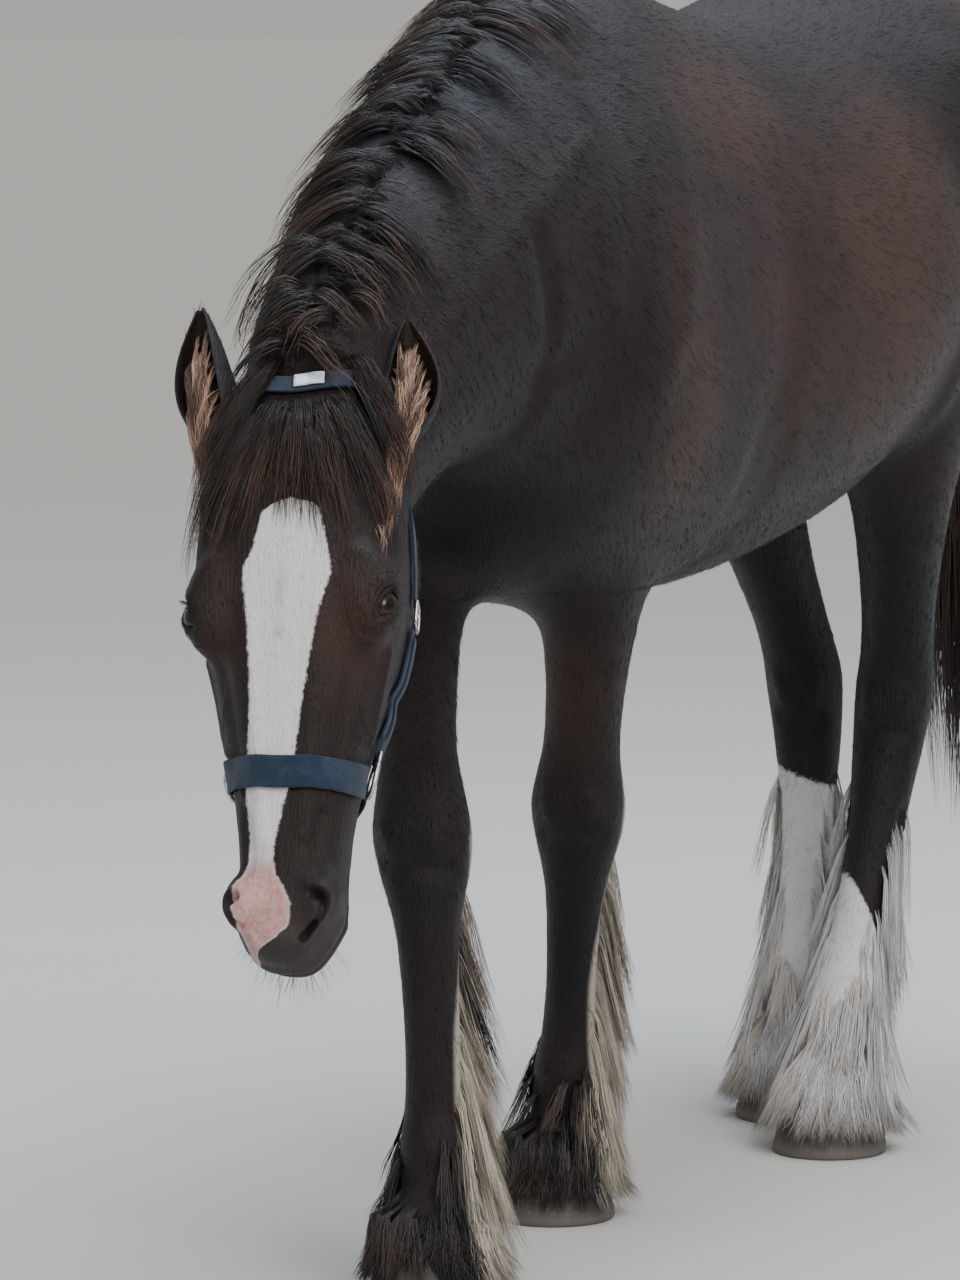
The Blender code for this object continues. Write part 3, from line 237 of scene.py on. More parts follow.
# Lines on the body: width, height, then distance from the spine's plane, y and z
BODY_LINES = [
    (0.03, -0.007, ((0.1, -0.09, 1.27), (0.2, -0.185, 1.08), (0.15, -0.25, 0.92))),
    (0.028, 0.004, ((0.08, 0.11, 1.34), (0.19, -0.06, 1.08), (0.21, -0.15, 0.96))),
    (0.04, -0.006, ((0.215, 0.24, 1.12), (0.25, 0.19, 0.95), (0.22, 0.13, 0.82))),
    (0.03, 0.006, ((0.225, 0.11, 0.85), (0.215, 0.1, 0.8))),
    (0.03, -0.004, ((0.24, 0.215, 0.88), (0.16, 0.2, 0.74), (0.06, 0.19, 0.69))),
    (0.06, -0.01, ((0.26, 0.7, 1.15), (0.27, 0.74, 1.05))),
    (0.022, 0.006, ((0.28, 0.74, 0.96), (0.24, 0.68, 0.83))),
    (0.04, 0.008, ((0.225, 0.8, 1.29), (0.235, 0.82, 1.26))),
    (0.026, -0.007, ((0.11, 1.18, 1.24), (0.2, 1.11, 1.02), (0.18, 1.03, 0.8))),
    (0.04, 0.006, ((0.23, 0.72, 0.92), (0.23, 0.74, 0.86))),
    (0.018, -0.009, ((0.0, -0.3, 1.08), (0.0, -0.29, 0.92))),
    (0.02, -0.006, ((0.15, -0.23, 1.02), (0.11, -0.42, 0.93), (0.085, -0.56, 0.875))),
    (0.022, 0.004, ((0.15, -0.18, 1.23), (0.12, -0.42, 1.11), (0.095, -0.59, 1.01))),
    (0.012, -0.004, ((0.0, 0.7, 1.37), (0.0, 1.0, 1.415), (0.0, 1.18, 1.35))),
    (0.0035, 0.002, ((0.25, 0.33, 0.78), (0.262, 0.48, 0.8), (0.24, 0.62, 0.82))),
]
# Lines on the lower legs: width, height, share across, reach ahead, and share of the way down
CANNON_LINES = [
    (0.0075, -0.005, ((0.9, -0.014, 0.1), (0.9, -0.014, 0.45))),
    (0.006, 0.0022, ((0.9, -0.03, 0.1), (0.9, -0.03, 0.45))),
    (0.012, 0.0045, ((0.7, 0.045, -0.24), (0.7, 0.05, -0.2))),
    (0.009, -0.004, ((0.3, 0.06, -0.14), (0.9, 0.03, -0.13))),
    (0.01, 0.004, ((0.9, -0.02, 0.53), (0.9, -0.04, 0.58))),
]

# The blaze: distance down the face, its middle and its half width, from the photograph
BLAZE = [(0.138, 0.006, 0.0), (0.144, 0.008, 0.02), (0.151, 0.006, 0.029), (0.173, 0.007, 0.034),
         (0.193, 0.006, 0.038), (0.207, 0.004, 0.044), (0.22, 0.003, 0.0445), (0.245, 0.001, 0.039),
         (0.269, -0.001, 0.0345), (0.307, -0.004, 0.0306), (0.344, -0.007, 0.0267), (0.4, -0.0126, 0.0247),
         (0.429, -0.016, 0.0225), (0.464, -0.0184, 0.0175), (0.484, -0.02, 0.0144), (0.504, -0.0213, 0.0141),
         (0.52, -0.0225, 0.018), (0.531, -0.022, 0.024), (0.552, -0.0185, 0.029), (0.57, -0.0185, 0.026),
         (0.582, -0.024, 0.018), (0.592, -0.036, 0.007), (0.602, -0.04, 0.001)]
SNIP_START = 0.5
# The upper edge of the hind socks: height, then its fall to the left and to the back
SOCK_LINES = {"hind_left": (0.275, 1.3, 0.9), "hind_right": (0.405, 0.35, 0.0)}

# Halter: how far down the face the noseband lies, and its parts
NOSEBAND_DOWN = 0.398
RING_ANGLE = 8
RING_RADIUS = 0.017
WEBBING_THICK = 0.0026
NOSEBAND_WIDTH, CHEEK_WIDTH, FOLD_WIDTH = 0.034, 0.024, 0.025
CHIN_WIDTH, END_WIDTH, PLATE_WIDTH = 0.02, 0.018, 0.02
RING_WIRE, KEEPER_WIRE, BUCKLE_WIRE, BAR_WIRE, TONGUE_WIRE = 0.0026, 0.0018, 0.0017, 0.0015, 0.0012
BUCKLE_HALF_WIDE, BUCKLE_HALF_HIGH = 0.0165, 0.0125
# The crownpiece's hub behind the face, and how far its aim leans ahead, by angle
CROWN_ANGLES = (0, 25, 45, 65, 90)
CROWN_AIMS = ((-0.088, -0.09, -0.078, -0.064, -0.057), (0.0, 0.08, 0.45, 0.85, 1.0))
STRAP_LIFT = 0.003

# The line of the tail's middle: x, y, z and how far the hair reaches there
TAIL_LINE = [(0.255, 1.29, 1.28, 0.02), (0.261, 1.322, 1.24, 0.034), (0.266, 1.34, 1.2, 0.045),
             (0.273, 1.362, 1.06, 0.064), (0.277, 1.366, 0.9, 0.072), (0.279, 1.364, 0.7, 0.07),
             (0.28, 1.364, 0.48, 0.056), (0.28, 1.364, 0.3, 0.036)]

# Mane: where it starts behind the poll, how far back it runs, and its locks
MANE_START = -0.672
MANE_RUN = 0.717
MANE_LOCKS = 34

# Feather: half angle of the roots round the back by share of the way to the floor, then reach of
# the tips by their height, and how much farther they reach behind
FEATHER_ANGLE = ((0.02, 0.15, 0.32, 0.48, 0.6, 0.7, 0.78), (34, 46, 62, 92, 145, 180, 180))
FEATHER_REACH = ((0.0, 0.02, 0.08, 0.14, 0.2, 0.335), (0.086, 0.084, 0.068, 0.05, 0.043, 0.04))
FEATHER_BEHIND = ((0.0, 0.1, 0.2, 0.335), (0.022, 0.032, 0.046, 0.046))
FEATHER_SKEW = 0.5
HOOF_BRIM = 0.065
FLOOR_GAP = 0.004

# Counts of stiff hairs, the size of a strand's patch on the OFBake map, how high the lowest hair lies
# over the floor, and the short tufts on a square metre
WHISKERS, CHIN_WHISKERS, LASHES = 110, 64, 46
PATCH = 0.003
STRAND_FLOOR = 0.001
TUFTS_ON_EAR, TUFTS_ON_HEAD, TUFTS_ON_LEG, TUFTS_ON_BODY = 60000, 46000, 22000, 11500

# Long hair by kind: seed, strands to a guide, half width, spread at root and tip, axis of the unwrap,
# frizz, and the shortest strand as a share of its guide
UP = (0, 0, 1)
LONG_HAIR = {
    "mane": (12, 13, 0.0008, 0.008, 0.013, (0, 0.8, 0.6), 0.004, 0.5),
    "forelock": (22, 15, 0.00045, 0.006, 0.01, UP, 0.003, 0.45),
    "ear_hair": (32, 8, 0.0003, 0.002, 0.0035, UP, 0.004, 0.7),
    "tail": (42, 13, 0.001, 0.004, 0.011, UP, 0.006, 0.7),
    "feather": (60, 18, 0.00065, 0.005, 0.01, UP, 0.004, 0.82),
    "whiskers": (72, 1, 0.00028, 0.0, 0.0, UP, 0.0, 0.9),
}

# Camera: place in the maker's frame, tilt and turn in degrees, and lens in pixels of the photograph,
# then the floor and the even light from all round
CAMERA_AT = Vector((1.7237, -7.038, 1.35))
CAMERA_TILT = 5.42
CAMERA_TURN = 14.0
FOCUS_PIXELS = 6580
PHOTO_HEIGHT = 1280
SENSOR = 36.0
FLOOR_REACH = 400.0
SKY_COLOUR = (0.93, 0.925, 0.9, 1.0)
SKY_STRENGTH = 0.5


def unit(vectors):
    """Vectors along the last axis, brought to length one."""
    return vectors / np.maximum(np.linalg.norm(vectors, axis=-1, keepdims=True), 1e-9)


def bend(y):
    """How far the spine has swung to the horse's left at y."""
    run = np.clip(np.asarray(y) - BEND_START, 0.0, BEND_FULL)
    past = np.maximum(np.asarray(y) - BEND_START - BEND_FULL, 0.0)
    return BEND_SLOPE * (run * run / (2 * BEND_FULL) + past)


def fair(rows, steps):
    """Rows of numbers with a smooth curve's rows set between them."""
    rows = [np.array(row, float) for row in rows]
    ends = [2 * rows[0] - rows[1]] + rows + [2 * rows[-1] - rows[-2]]
    out = []
    for a, b, c, d in zip(ends, ends[1:], ends[2:], ends[3:]):
        for k in range(steps):
            t = k / steps
            out.append(0.5 * (2 * b + (c - a) * t + (2 * a - 5 * b + 4 * c - d) * t * t
                              + (3 * b - a - 3 * c + d) * t ** 3))
    return out + [rows[-1]]


def power(value, exponent):
    return math.copysign(abs(value) ** exponent, value)


def ease(value, start, end):
    """A smooth step from 0 at start to 1 at end."""
    share = np.clip((np.asarray(value) - start) / (end - start), 0.0, 1.0)
    return share * share * (3 - 2 * share)


def section(front, back, half_width, side, widest=0.0, point_front=1.0, point_back=1.0):
    """One closed outline between two end points, side being the unit vector across it."""
    middle = front.lerp(back, 0.5 - 0.5 * widest)
    points = []
    for k in range(SIDES):
        angle = 2 * math.pi * k / SIDES
        across, along = math.cos(angle), math.sin(angle)
        end, point = (front, point_front) if along > 0 else (back, point_back)
        points.append(middle + (end - middle) * abs(along) + side * half_width * power(across, point))
    return points


def skin_over(bm, outlines, closed=True):
    """A tube over a run of outlines of like count, with end caps unless it closes on itself."""
    rings = [[bm.verts.new(point) for point in outline] for outline in outlines]
    count = len(rings[0])
    pairs = list(zip(rings, rings[1:])) + ([] if closed else [(rings[-1], rings[0])])
    for low, high in pairs:
        for k in range(count):
            n = (k + 1) % count
            bm.faces.new((low[k], low[n], high[n], high[k]))
    if closed:
        bm.faces.new(rings[0][::-1])
        bm.faces.new(rings[-1])


def blob(bm, centre, radii, turn=None):
    """An ellipsoid, for a muscle or a joint."""
    place = Matrix.Translation(centre) @ (turn.to_4x4() if turn else Matrix())
    place = place @ Matrix.Diagonal((*radii, 1.0))
    bmesh.ops.create_uvsphere(bm, u_segments=20, v_segments=12, radius=1.0, matrix=place)


def head_axes():
    """Unit vectors to the horse's left, out of its face, and down its face."""
    down = (MUZZLE - POLL).normalized()
    ahead = Vector((math.sin(HEAD_YAW), -math.cos(HEAD_YAW), 0.0))
    left = ahead.cross(down).normalized()
    return left, down.cross(left), down


HEAD_TURN = Matrix(head_axes()).transposed()


def on_head(left, front, down):
    return POLL + HEAD_TURN @ Vector((left, front, down))


def head_places(points):
    """Left, front and down of points given in the maker's frame."""
    return (points - np.array(POLL)) @ np.array(HEAD_TURN)


def leg_spot(joints, place):
    """The point and direction at a place between numbered joints, 0 being the first."""
    rows = fair(joints, 8)
    spot = min(max(place * 8, 0.0), len(rows) - 1.001)
    k = int(spot)
    a, b = Vector(rows[k]), Vector(rows[k + 1])
    along = (b - a).normalized()
    point = a.lerp(b, spot - k)
    return (point + along * (place * 0.2 if place < 0 else 0.0)), along


def leg_outlines(joints, table):
    outlines = []
    for place, front, back, half_width in fair(table, 3):
        point, along = leg_spot(joints, place)
        side = Vector((1.0, 0.0, 0.0))
        side = (side - along * side.dot(along)).normalized()
        ahead = along.cross(side)
        if ahead.y > 0:
            ahead = -ahead
        outlines.append(section(point + ahead * front, point - ahead * back, half_width, side))
    return outlines


def leg_middle(joints, z):
    """The x and y of a leg's middle at heights."""
    rows = np.array(joints[::-1])
    return np.interp(z, rows[:, 2], rows[:, 0]), np.interp(z, rows[:, 2], rows[:, 1])


def cannon_top(name):
    """The height at which the cannon begins, below the knee or the hock."""
    joints, table = LEGS[name]
    return leg_spot(joints, BELOW_KNEE if table is FORELEG else BELOW_HOCK)[0].z


def flesh_form():
    """The whole body as overlapping lofts and ellipsoids, not yet fused."""
    bm = bmesh.new()
    side = Vector((1.0, 0.0, 0.0))
    outlines = []
    for y, top, bottom, half_width, widest, above, below in fair(TRUNK, 3):
        across = Vector((1.0, -(bend(y + 0.05) - bend(y)) / 0.05, 0.0)).normalized()
        x = float(bend(y))
        outlines.append(section(Vector((x, y, top)), Vector((x, y, bottom)),
                                half_width, across, widest, above, below))
    skin_over(bm, outlines)
    outlines = []
    for top_y, top, bottom_y, bottom, x, half_width, above, below in fair(NECK, 3):
        outlines.append(section(Vector((x, top_y, top)), Vector((x, bottom_y, bottom)),
                                half_width, side, -0.1, above, below))
    skin_over(bm, outlines)
    outlines = []
    for down, front, back, half_width, widest, point_front, point_back in fair(HEAD, 3):
        outlines.append(section(on_head(0, front, down), on_head(0, back, down), half_width,
                                HEAD_TURN.col[0].copy(), widest, point_front, point_back))
    skin_over(bm, outlines)
    for joints, table in LEGS.values():
        skin_over(bm, leg_outlines(joints, table))
    for hand in (-1, 1):
        for centre, radii in TRUNK_MUSCLES:
            x = float(bend(centre[1])) + hand * centre[0]
            blob(bm, Vector((x, centre[1], centre[2])), radii)
        for centre, radii in HEAD_MUSCLES:
            blob(bm, on_head(hand * centre[0], centre[1], centre[2]), radii, HEAD_TURN)
    for centre, radii in MUZZLE_FORMS:
        blob(bm, on_head(*centre), radii, HEAD_TURN)
    for joints in (HIND_LEFT, HIND_RIGHT):
        blob(bm, Vector(joints[2]) + Vector((0.0, 0.058, 0.052)), (0.024, 0.03, 0.045))
    outlines = []
    for y, z, reach in DOCK:
        point, slant = Vector((float(bend(y)), y, z)), Vector((0, -reach, reach))
        outlines.append(section(point + slant, point - slant, reach * 1.2, side))
    skin_over(bm, outlines)
    return bm


def as_mesh(bm, name):
    """A bmesh as a mesh of that name. The bmesh goes."""
    mesh = bpy.data.meshes.new(name)
    bm.to_mesh(mesh)
    bm.free()
    return mesh


def mesh_of(bm, name):
    """The same, with its faces turned outwards."""
    bmesh.ops.recalc_face_normals(bm, faces=bm.faces)
    return as_mesh(bm, name)


def baked(piece):
    """What an object's modifiers make of it, as a new mesh. The object goes."""
    bpy.context.view_layer.update()
    graph = bpy.context.evaluated_depsgraph_get()
    mesh = bpy.data.meshes.new_from_object(piece.evaluated_get(graph), depsgraph=graph)
    bpy.data.objects.remove(piece)
    return mesh


def temporary(mesh):
    piece = bpy.data.objects.new("temporary", mesh)
    bpy.context.scene.collection.objects.link(piece)
    return piece


def modify(piece, kind, **settings):
    """Give an object a modifier with these settings."""
    modifier = piece.modifiers.new(kind.title(), kind)
    for name, value in settings.items():
        setattr(modifier, name, value)


def coordinates(mesh):
    points = np.empty(len(mesh.vertices) * 3, np.float32)
    mesh.vertices.foreach_get("co", points)
    return points.reshape(-1, 3).astype(float)


def vertex_normals(mesh):
    normals = np.empty(len(mesh.vertices) * 3, np.float32)
    mesh.vertex_normals.foreach_get("vector", normals)
    return normals.reshape(-1, 3).astype(float)


def set_coordinates(mesh, points):
    mesh.vertices.foreach_set("co", points.astype(np.float32).ravel())
    mesh.update()


def tree_over(mesh):
    bm = bmesh.new()
    bm.from_mesh(mesh)
    tree = BVHTree.FromBMesh(bm)
    bm.free()
    return tree


def fused_flesh():
    """The body as one closed form, voxel fused and smoothed as the solids are."""
    piece = temporary(mesh_of(flesh_form(), "flesh"))
    modify(piece, "REMESH", mode="VOXEL", voxel_size=VOXEL)
    modify(piece, "SMOOTH", factor=0.5, iterations=6)
    piece = temporary(baked(piece))
    broad = piece.vertex_groups.new(name="broad")
    points = coordinates(piece.data)
    weights = np.clip((points[:, 2] - 0.55) / 0.2, 0, 1) * np.clip((points[:, 1] - HEAD_Y) / 0.15, 0, 1)
    for k, weight in enumerate(weights):
        broad.add([k], weight, "REPLACE")
    modify(piece, "SMOOTH", factor=0.9, iterations=120, vertex_group="broad")
    return baked(piece)


def refine(bm, inside):
    """Halve the faces whose corners all lie in a region, and smooth them a little."""
    edges = set()
    for face in bm.faces:
        if all(inside(vert.co) for vert in face.verts):
            edges.update(face.edges)
    bmesh.ops.subdivide_edges(bm, edges=list(edges), cuts=1, use_grid_fill=True)
    verts = [vert for vert in bm.verts if inside(vert.co)]
    for _ in range(3):
        bmesh.ops.smooth_vert(bm, verts=verts, factor=0.5, use_axis_x=True, use_axis_y=True, use_axis_z=True)


def near_line(points, path):
    """The distance of each point from a run of straight lines."""
    best = np.full(len(points), np.inf)
    for a, b in zip(path, path[1:]):
        along = b - a
        share = np.clip((points - a) @ along / max(along @ along, 1e-12), 0, 1)
        best = np.minimum(best, np.linalg.norm(points - a - share[:, None] * along, axis=1))
    return best


def draw_line(points, normals, tree, width, height, path):
    """Raise or sink the skin along a line that is first laid onto it."""
    laid = [np.array(tree.find_nearest(Vector(spot))[0]) for spot in fair(path, 4)]
    low, high = np.min(laid, axis=0) - 3 * width, np.max(laid, axis=0) + 3 * width
    near = np.all((points > low) & (points < high), axis=1)
    gap = near_line(points[near], laid)
    points[near] += normals[near] * (height * np.exp(-(gap / width) ** 2))[:, None]


def nostril_line(hand, out):
    """The crescent of a nostril, or a line outside it by a distance."""
    middle = np.mean(NOSTRIL, axis=0)
    path = []
    for left, down in NOSTRIL:
        away = unit(np.array((left, down)) - middle + np.array((-0.004, 0.0)))
        left, down = np.array((left, down)) + away * out
        path.append(on_head(hand * left * NOSTRIL_ASIDE[hand], 0.01, down))
    return path


def mouth_line(offset, reach=95):
    """Round the end of the muzzle from one corner of the mouth to the other."""
    path = []
    for k in range(-6, 7):
        angle = math.radians(k * reach / 6)
        rise = 0.01 * (abs(k) / 6) ** 3
        down = MOUTH_DOWN + MOUTH_REACH * math.cos(angle)
        path.append(on_head(MOUTH_HALF_WIDE * math.sin(angle), MOUTH_FRONT + offset + rise, down))
    return path


def sculpt(mesh):
    """Draw bones, veins, folds, lips, nostrils and tendons into the skin."""
    tree = tree_over(mesh)
    points, normals = coordinates(mesh), vertex_normals(mesh)
    for hand in (-1, 1):
        for width, height, path in HEAD_LINES:
            laid = [on_head(hand * left, front, down) for left, front, down in path]
            draw_line(points, normals, tree, width, height, laid)
        draw_line(points, normals, tree, 0.0065, 0.0032, nostril_line(hand, 0.008))
        draw_line(points, normals, tree, NOSTRIL_WIDTH, -NOSTRIL_DEEP, nostril_line(hand, 0.0))
        for width, height, path in BODY_LINES:
            laid = [(float(bend(y)) + hand * x, y, z) for x, y, z in path]
            draw_line(points, normals, tree, width, height if path[0][0] else height / 2, laid)
    for offset in (-LIP_AWAY, LIP_AWAY):
        draw_line(points, normals, tree, 0.009, LIP_ROLL, mouth_line(offset, 80))
    draw_line(points, normals, tree, 0.0024, -MOUTH_DEEP, mouth_line(0.0))
    for name, (joints, _) in LEGS.items():
        top = cannon_top(name)
        for hand in (-1, 1):
            for width, height, path in CANNON_LINES:
                laid = []
                for across, ahead, share in path:
                    z = top * (1 - share)
                    x, y = leg_middle(joints, z)
                    laid.append((x + hand * 0.036 * across, y - ahead, z))
                draw_line(points, normals, tree, width, height, laid)
    set_coordinates(mesh, shorten_muzzle(points))


def shorten_muzzle(points):
    """Draw the lips and chin up a little, and in on the left."""
    places = head_places(points)
    left, _, down = places.T
    head = points[:, 1] < HEAD_Y
    share = ease(down, 0.53, 0.61) * head
    lifted = down - (down - SHORTER_BELOW) * SHORTER_SHARE * head
    places[:, 2] = np.where(down > SHORTER_BELOW, lifted, down)
    places[:, 0] = left * (1 - share * np.where(left > 0, NARROWER["left"], NARROWER["right"]))
    moved = np.array(POLL) + places @ np.array(HEAD_TURN).T
    return np.where(head[:, None], moved, points)


def eye_axes(hand):
    """An eye's centre, the way it looks, the way along its lids, and up across them."""
    look = (HEAD_TURN @ Vector((hand * 0.83, 0.56, 0.0))).normalized()
    along = HEAD_TURN @ Vector((-hand * 0.4, 0.5, 0.85))
    along = (along - look * along.dot(look)).normalized()
    up = along.cross(look) * hand
    return on_head(hand * EYE_AT[0], EYE_AT[1], EYE_AT[2]), look, along, up


def lid_edge(turn):
    """The edge of the opening between the lids, along and up."""
    high = EYE_HALF_HIGH * (1.12 if math.sin(turn) > 0 else 0.88)
    return np.array((EYE_HALF_LONG * math.cos(turn), high * power(math.sin(turn), 1.25)))


# Rings of an eyelid: distance outside the opening, height over the eyeball's radius, share of
# the skin's own height, and the folds added above and below the eye
LID_RINGS = [
    (-0.001, -0.0012, 0.0, 0.0, 0.0), (-0.0006, 0.0006, 0.0, 0.0, 0.0), (0.0002, 0.0017, 0.0, 0.0, 0.0),
    (0.0014, 0.0022, 0.0, 0.0007, 0.0), (0.003, 0.0024, 0.05, 0.0012, 0.0),
    (0.0046, 0.0022, 0.15, -0.0006, -0.0004), (0.0058, 0.002, 0.3, -0.0026, -0.001),
    (0.0072, 0.002, 0.45, 0.0006, 0.0002), (0.0092, 0.002, 0.65, 0.0018, 0.0008),
    (0.0112, 0.002, 0.8, 0.0, -0.0006), (0.014, 0.002, 0.95, 0.001, 0.0),
    (0.0175, 0.002, 1.0, 0.0006, 0.0), (0.0215, 0.002, 1.0, -0.0012, -0.0012),
    (0.024, 0.002, 1.0, -0.003, -0.003),
]
LID_SIDES = 40


def add_lids(bm, tree, hand):
    """Upper and lower lid as one ring of folds that runs out under the skin round it."""
    centre, look, along, up = (np.array(part) for part in eye_axes(hand))
    rings = []
    for out, over, share, fold_above, fold_below in LID_RINGS:
        ring = []
        for k in range(LID_SIDES):
            turn = 2 * math.pi * k / LID_SIDES
            edge = lid_edge(turn)
            spot = edge + unit(edge * np.array((0.7, 1.0))) * out
            cap = math.sqrt(max((EYE_RADIUS + over) ** 2 - edge @ edge * min(1.0, (1 + out * 20)), 1e-6))
            fold = fold_above if math.sin(turn) > 0 else fold_below
            fold *= abs(math.sin(turn)) if out < 0.018 else 1.0
            place = centre + along * spot[0] + up * spot[1]
            hit = tree.ray_cast(Vector(place + look * 0.06), Vector(-look))[0]
            skin_high = (np.array(hit) - centre) @ look if hit else cap
            high = cap * (1 - share) + skin_high * share + fold
            ring.append(bm.verts.new(place + look * high))
        rings.append(ring)
    for low, high in zip(rings, rings[1:]):
        for k in range(LID_SIDES):
            n = (k + 1) % LID_SIDES
            if hand < 0:
                bm.faces.new((low[k], low[n], high[n], high[k]))
            else:
                bm.faces.new((low[k], high[k], high[n], low[n]))


def sink_sockets(mesh):
    """Draw the skin in under the lids, so that it clears the eyeball."""
    points = coordinates(mesh)
    for hand in (-1, 1):
        centre, look, along, up = (np.array(part) for part in eye_axes(hand))
        away = points - centre
        high = away @ look
        spots = np.stack((away @ along, away @ up), axis=1)
        out = np.linalg.norm(spots / np.array((EYE_HALF_LONG, EYE_HALF_HIGH)), axis=1)
        out = (out - 1) * EYE_HALF_HIGH
        near = (high > 0) & (np.linalg.norm(away, axis=1) < 0.05)
        deep = np.sqrt(np.maximum(EYE_RADIUS ** 2 - (spots ** 2).sum(axis=1), 0)) - 0.006
        share = (1 - ease(out, 0.006, 0.014)) * near
        points += look * ((np.minimum(deep, high) - high) * share)[:, None]
    set_coordinates(mesh, points)


def ear_line(hand, share):
    """The middle of an ear at a share of its length."""
    root, tip = (on_head(*end) for end in EAR_ENDS[hand])
    bow = HEAD_TURN @ Vector((hand * 0.014, -0.01, 0.0)) * math.sin(math.pi * max(share, 0.0))
    return root.lerp(tip, share) + bow


def ear_axes(hand):
    """Unit vectors up an ear, out of its open side, and across it."""
    along = (ear_line(hand, 1) - ear_line(hand, 0)).normalized()
    look = HEAD_TURN @ Vector((hand * 0.42, 0.9, 0.0))
    look = (look - along * look.dot(along)).normalized()
    return along, look, along.cross(look)


def ear_mesh(hand):
    """A rolled leaf with an open front and a fine rim."""
    bm = bmesh.new()
    _, look, across = ear_axes(hand)
    rows = []
    for share, radius, opening in fair(EAR_ROWS, 5):
        row = []
        for n in range(EAR_SIDES + 1):
            turn = math.radians(opening + (360 - 2 * opening) * n / EAR_SIDES)
            flat = 1.0 - 0.18 * math.cos(turn) ** 2
            row.append(bm.verts.new(ear_line(hand, share)
                                    + (look * math.cos(turn) * flat + across * math.sin(turn)) * radius))
        rows.append(row)
    for low, high in zip(rows, rows[1:]):
        for n in range(EAR_SIDES):
            bm.faces.new((low[n], low[n + 1], high[n + 1], high[n]))
    piece = temporary(as_mesh(bm, "ear"))
    modify(piece, "SOLIDIFY", thickness=EAR_WALL, offset=0.0)
    modify(piece, "SUBSURF", levels=1)
    return baked(piece)


def lie_of_coat(points, ear):
    """The way the hairs point at places on the skin. Ear is -1, 0 or 1 for each place."""
    x, y, z = points.T
    left, _, down = head_places(points).T
    head = ease(-y, 0.6, 0.68) * ease(down, -0.02, 0.06)
    axes = np.array(HEAD_TURN)
    on_face = unit(axes[:, 2] + axes[:, 0] * (np.sign(left) * 0.25 * ease(np.abs(left), 0.01, 0.05))[:, None]
                   - axes[:, 1] * (0.5 * ease(np.abs(left), 0.05, 0.09))[:, None])
    on_neck = unit(np.stack((np.zeros_like(x), np.full_like(x, 0.72), np.full_like(x, -0.7)), axis=1))
    back, fall = 0.85 - 0.5 * ease(y, 0.85, 1.15), -0.3 - 0.6 * ease(y, 0.8, 1.15)
    on_body = unit(np.stack((0 * x, back, fall), axis=1))
    on_leg = unit(np.stack((0 * x, 0.12 + 0 * x, -1 + 0 * x), axis=1))
    lie = on_neck * (1 - ease(y, -0.2, 0.05))[:, None] + on_body * ease(y, -0.2, 0.05)[:, None]
    leg = (1 - ease(z, 0.66, 0.86))[:, None]
    lie = lie * (1 - leg) + on_leg * leg
    lie = lie * (1 - head[:, None]) + on_face * head[:, None]
    for hand in (-1, 1):
        lie[ear == hand] = np.array(ear_axes(hand)[0])
    return unit(lie)


def markings(points):
    """How far inside the white, the pink and the cream each place lies, in metres."""
    x, y, z = points.T
    left, front, down = head_places(points).T
    rows = np.array(BLAZE)
    middle = np.interp(down, rows[:, 0], rows[:, 1])
    half = np.interp(down, rows[:, 0], rows[:, 2])
    white = np.minimum(half - np.abs(left - middle), np.minimum(down - rows[0, 0], rows[-1, 0] - down))
    white = np.where((y < HEAD_Y) & (front > -0.06), white, -0.1)
    pink = np.where(y < HEAD_Y, np.minimum(white + 0.001, (down - SNIP_START) * 0.3), -0.1)
    cream = np.full_like(x, -0.1)
    for name, (joints, table) in LEGS.items():
        middle_x, middle_y = leg_middle(joints, z)
        near = (np.abs(x - middle_x) < 0.085) & (np.abs(y - middle_y) < 0.12) & (z < 0.55)
        if table is FORELEG:
            behind = 0.85 * (y - middle_y) + 0.9 * (x - middle_x) - 0.008 - 0.012 * ease(-z, -0.13, -0.06)
            behind = behind - 0.035 * ease(z, cannon_top(name) - 0.14, cannon_top(name) + 0.06)
            cream = np.where(near, behind, cream)
        else:
            high, aside, back = SOCK_LINES[name]
            line = high - aside * (x - middle_x) - back * (y - middle_y)
            white = np.where(near, (line - z) * 0.45, white)
    return np.stack((white, pink, cream), axis=1)


# Places of the brown and of the black tones: centre in the maker's frame, reach each way, strength. The
# brown is the coat's own on cheeks, shoulder, elbows, belly and flank, and painted sunlight on the top of
# the barrel, the loin and the croup
BROWN_AND_PAINTED_SUNLIGHT_PLACES = [
    ((0.25, 0.18, 1.27), (0.16, 0.26, 0.19), 0.7), ((0.22, -0.05, 0.98), (0.12, 0.14, 0.3), 0.55),
    ((0.33, 0.48, 1.06), (0.18, 0.34, 0.34), 0.7), ((0.3, 0.26, 1.08), (0.2, 0.46, 0.36), 0.52),
    ((-0.2, 0.2, 1.22), (0.14, 0.26, 0.2), 0.8),
    ((-0.24, 0.42, 1.02), (0.14, 0.26, 0.26), 0.55), ((0.1, 0.3, 0.66), (0.3, 0.26, 0.1), 0.6),
    ((0.09, -0.62, 1.05), (0.07, 0.1, 0.16), 0.5), ((0.045, -0.84, 0.76), (0.06, 0.12, 0.12), 0.55),
    ((-0.085, -0.84, 0.76), (0.05, 0.12, 0.12), 0.45), ((0.03, 0.05, 0.62), (0.12, 0.14, 0.13), 0.6),
    ((0.2, 0.95, 1.38), (0.22, 0.16, 0.12), 0.6), ((0.36, 0.9, 0.8), (0.1, 0.2, 0.12), 0.5),
]
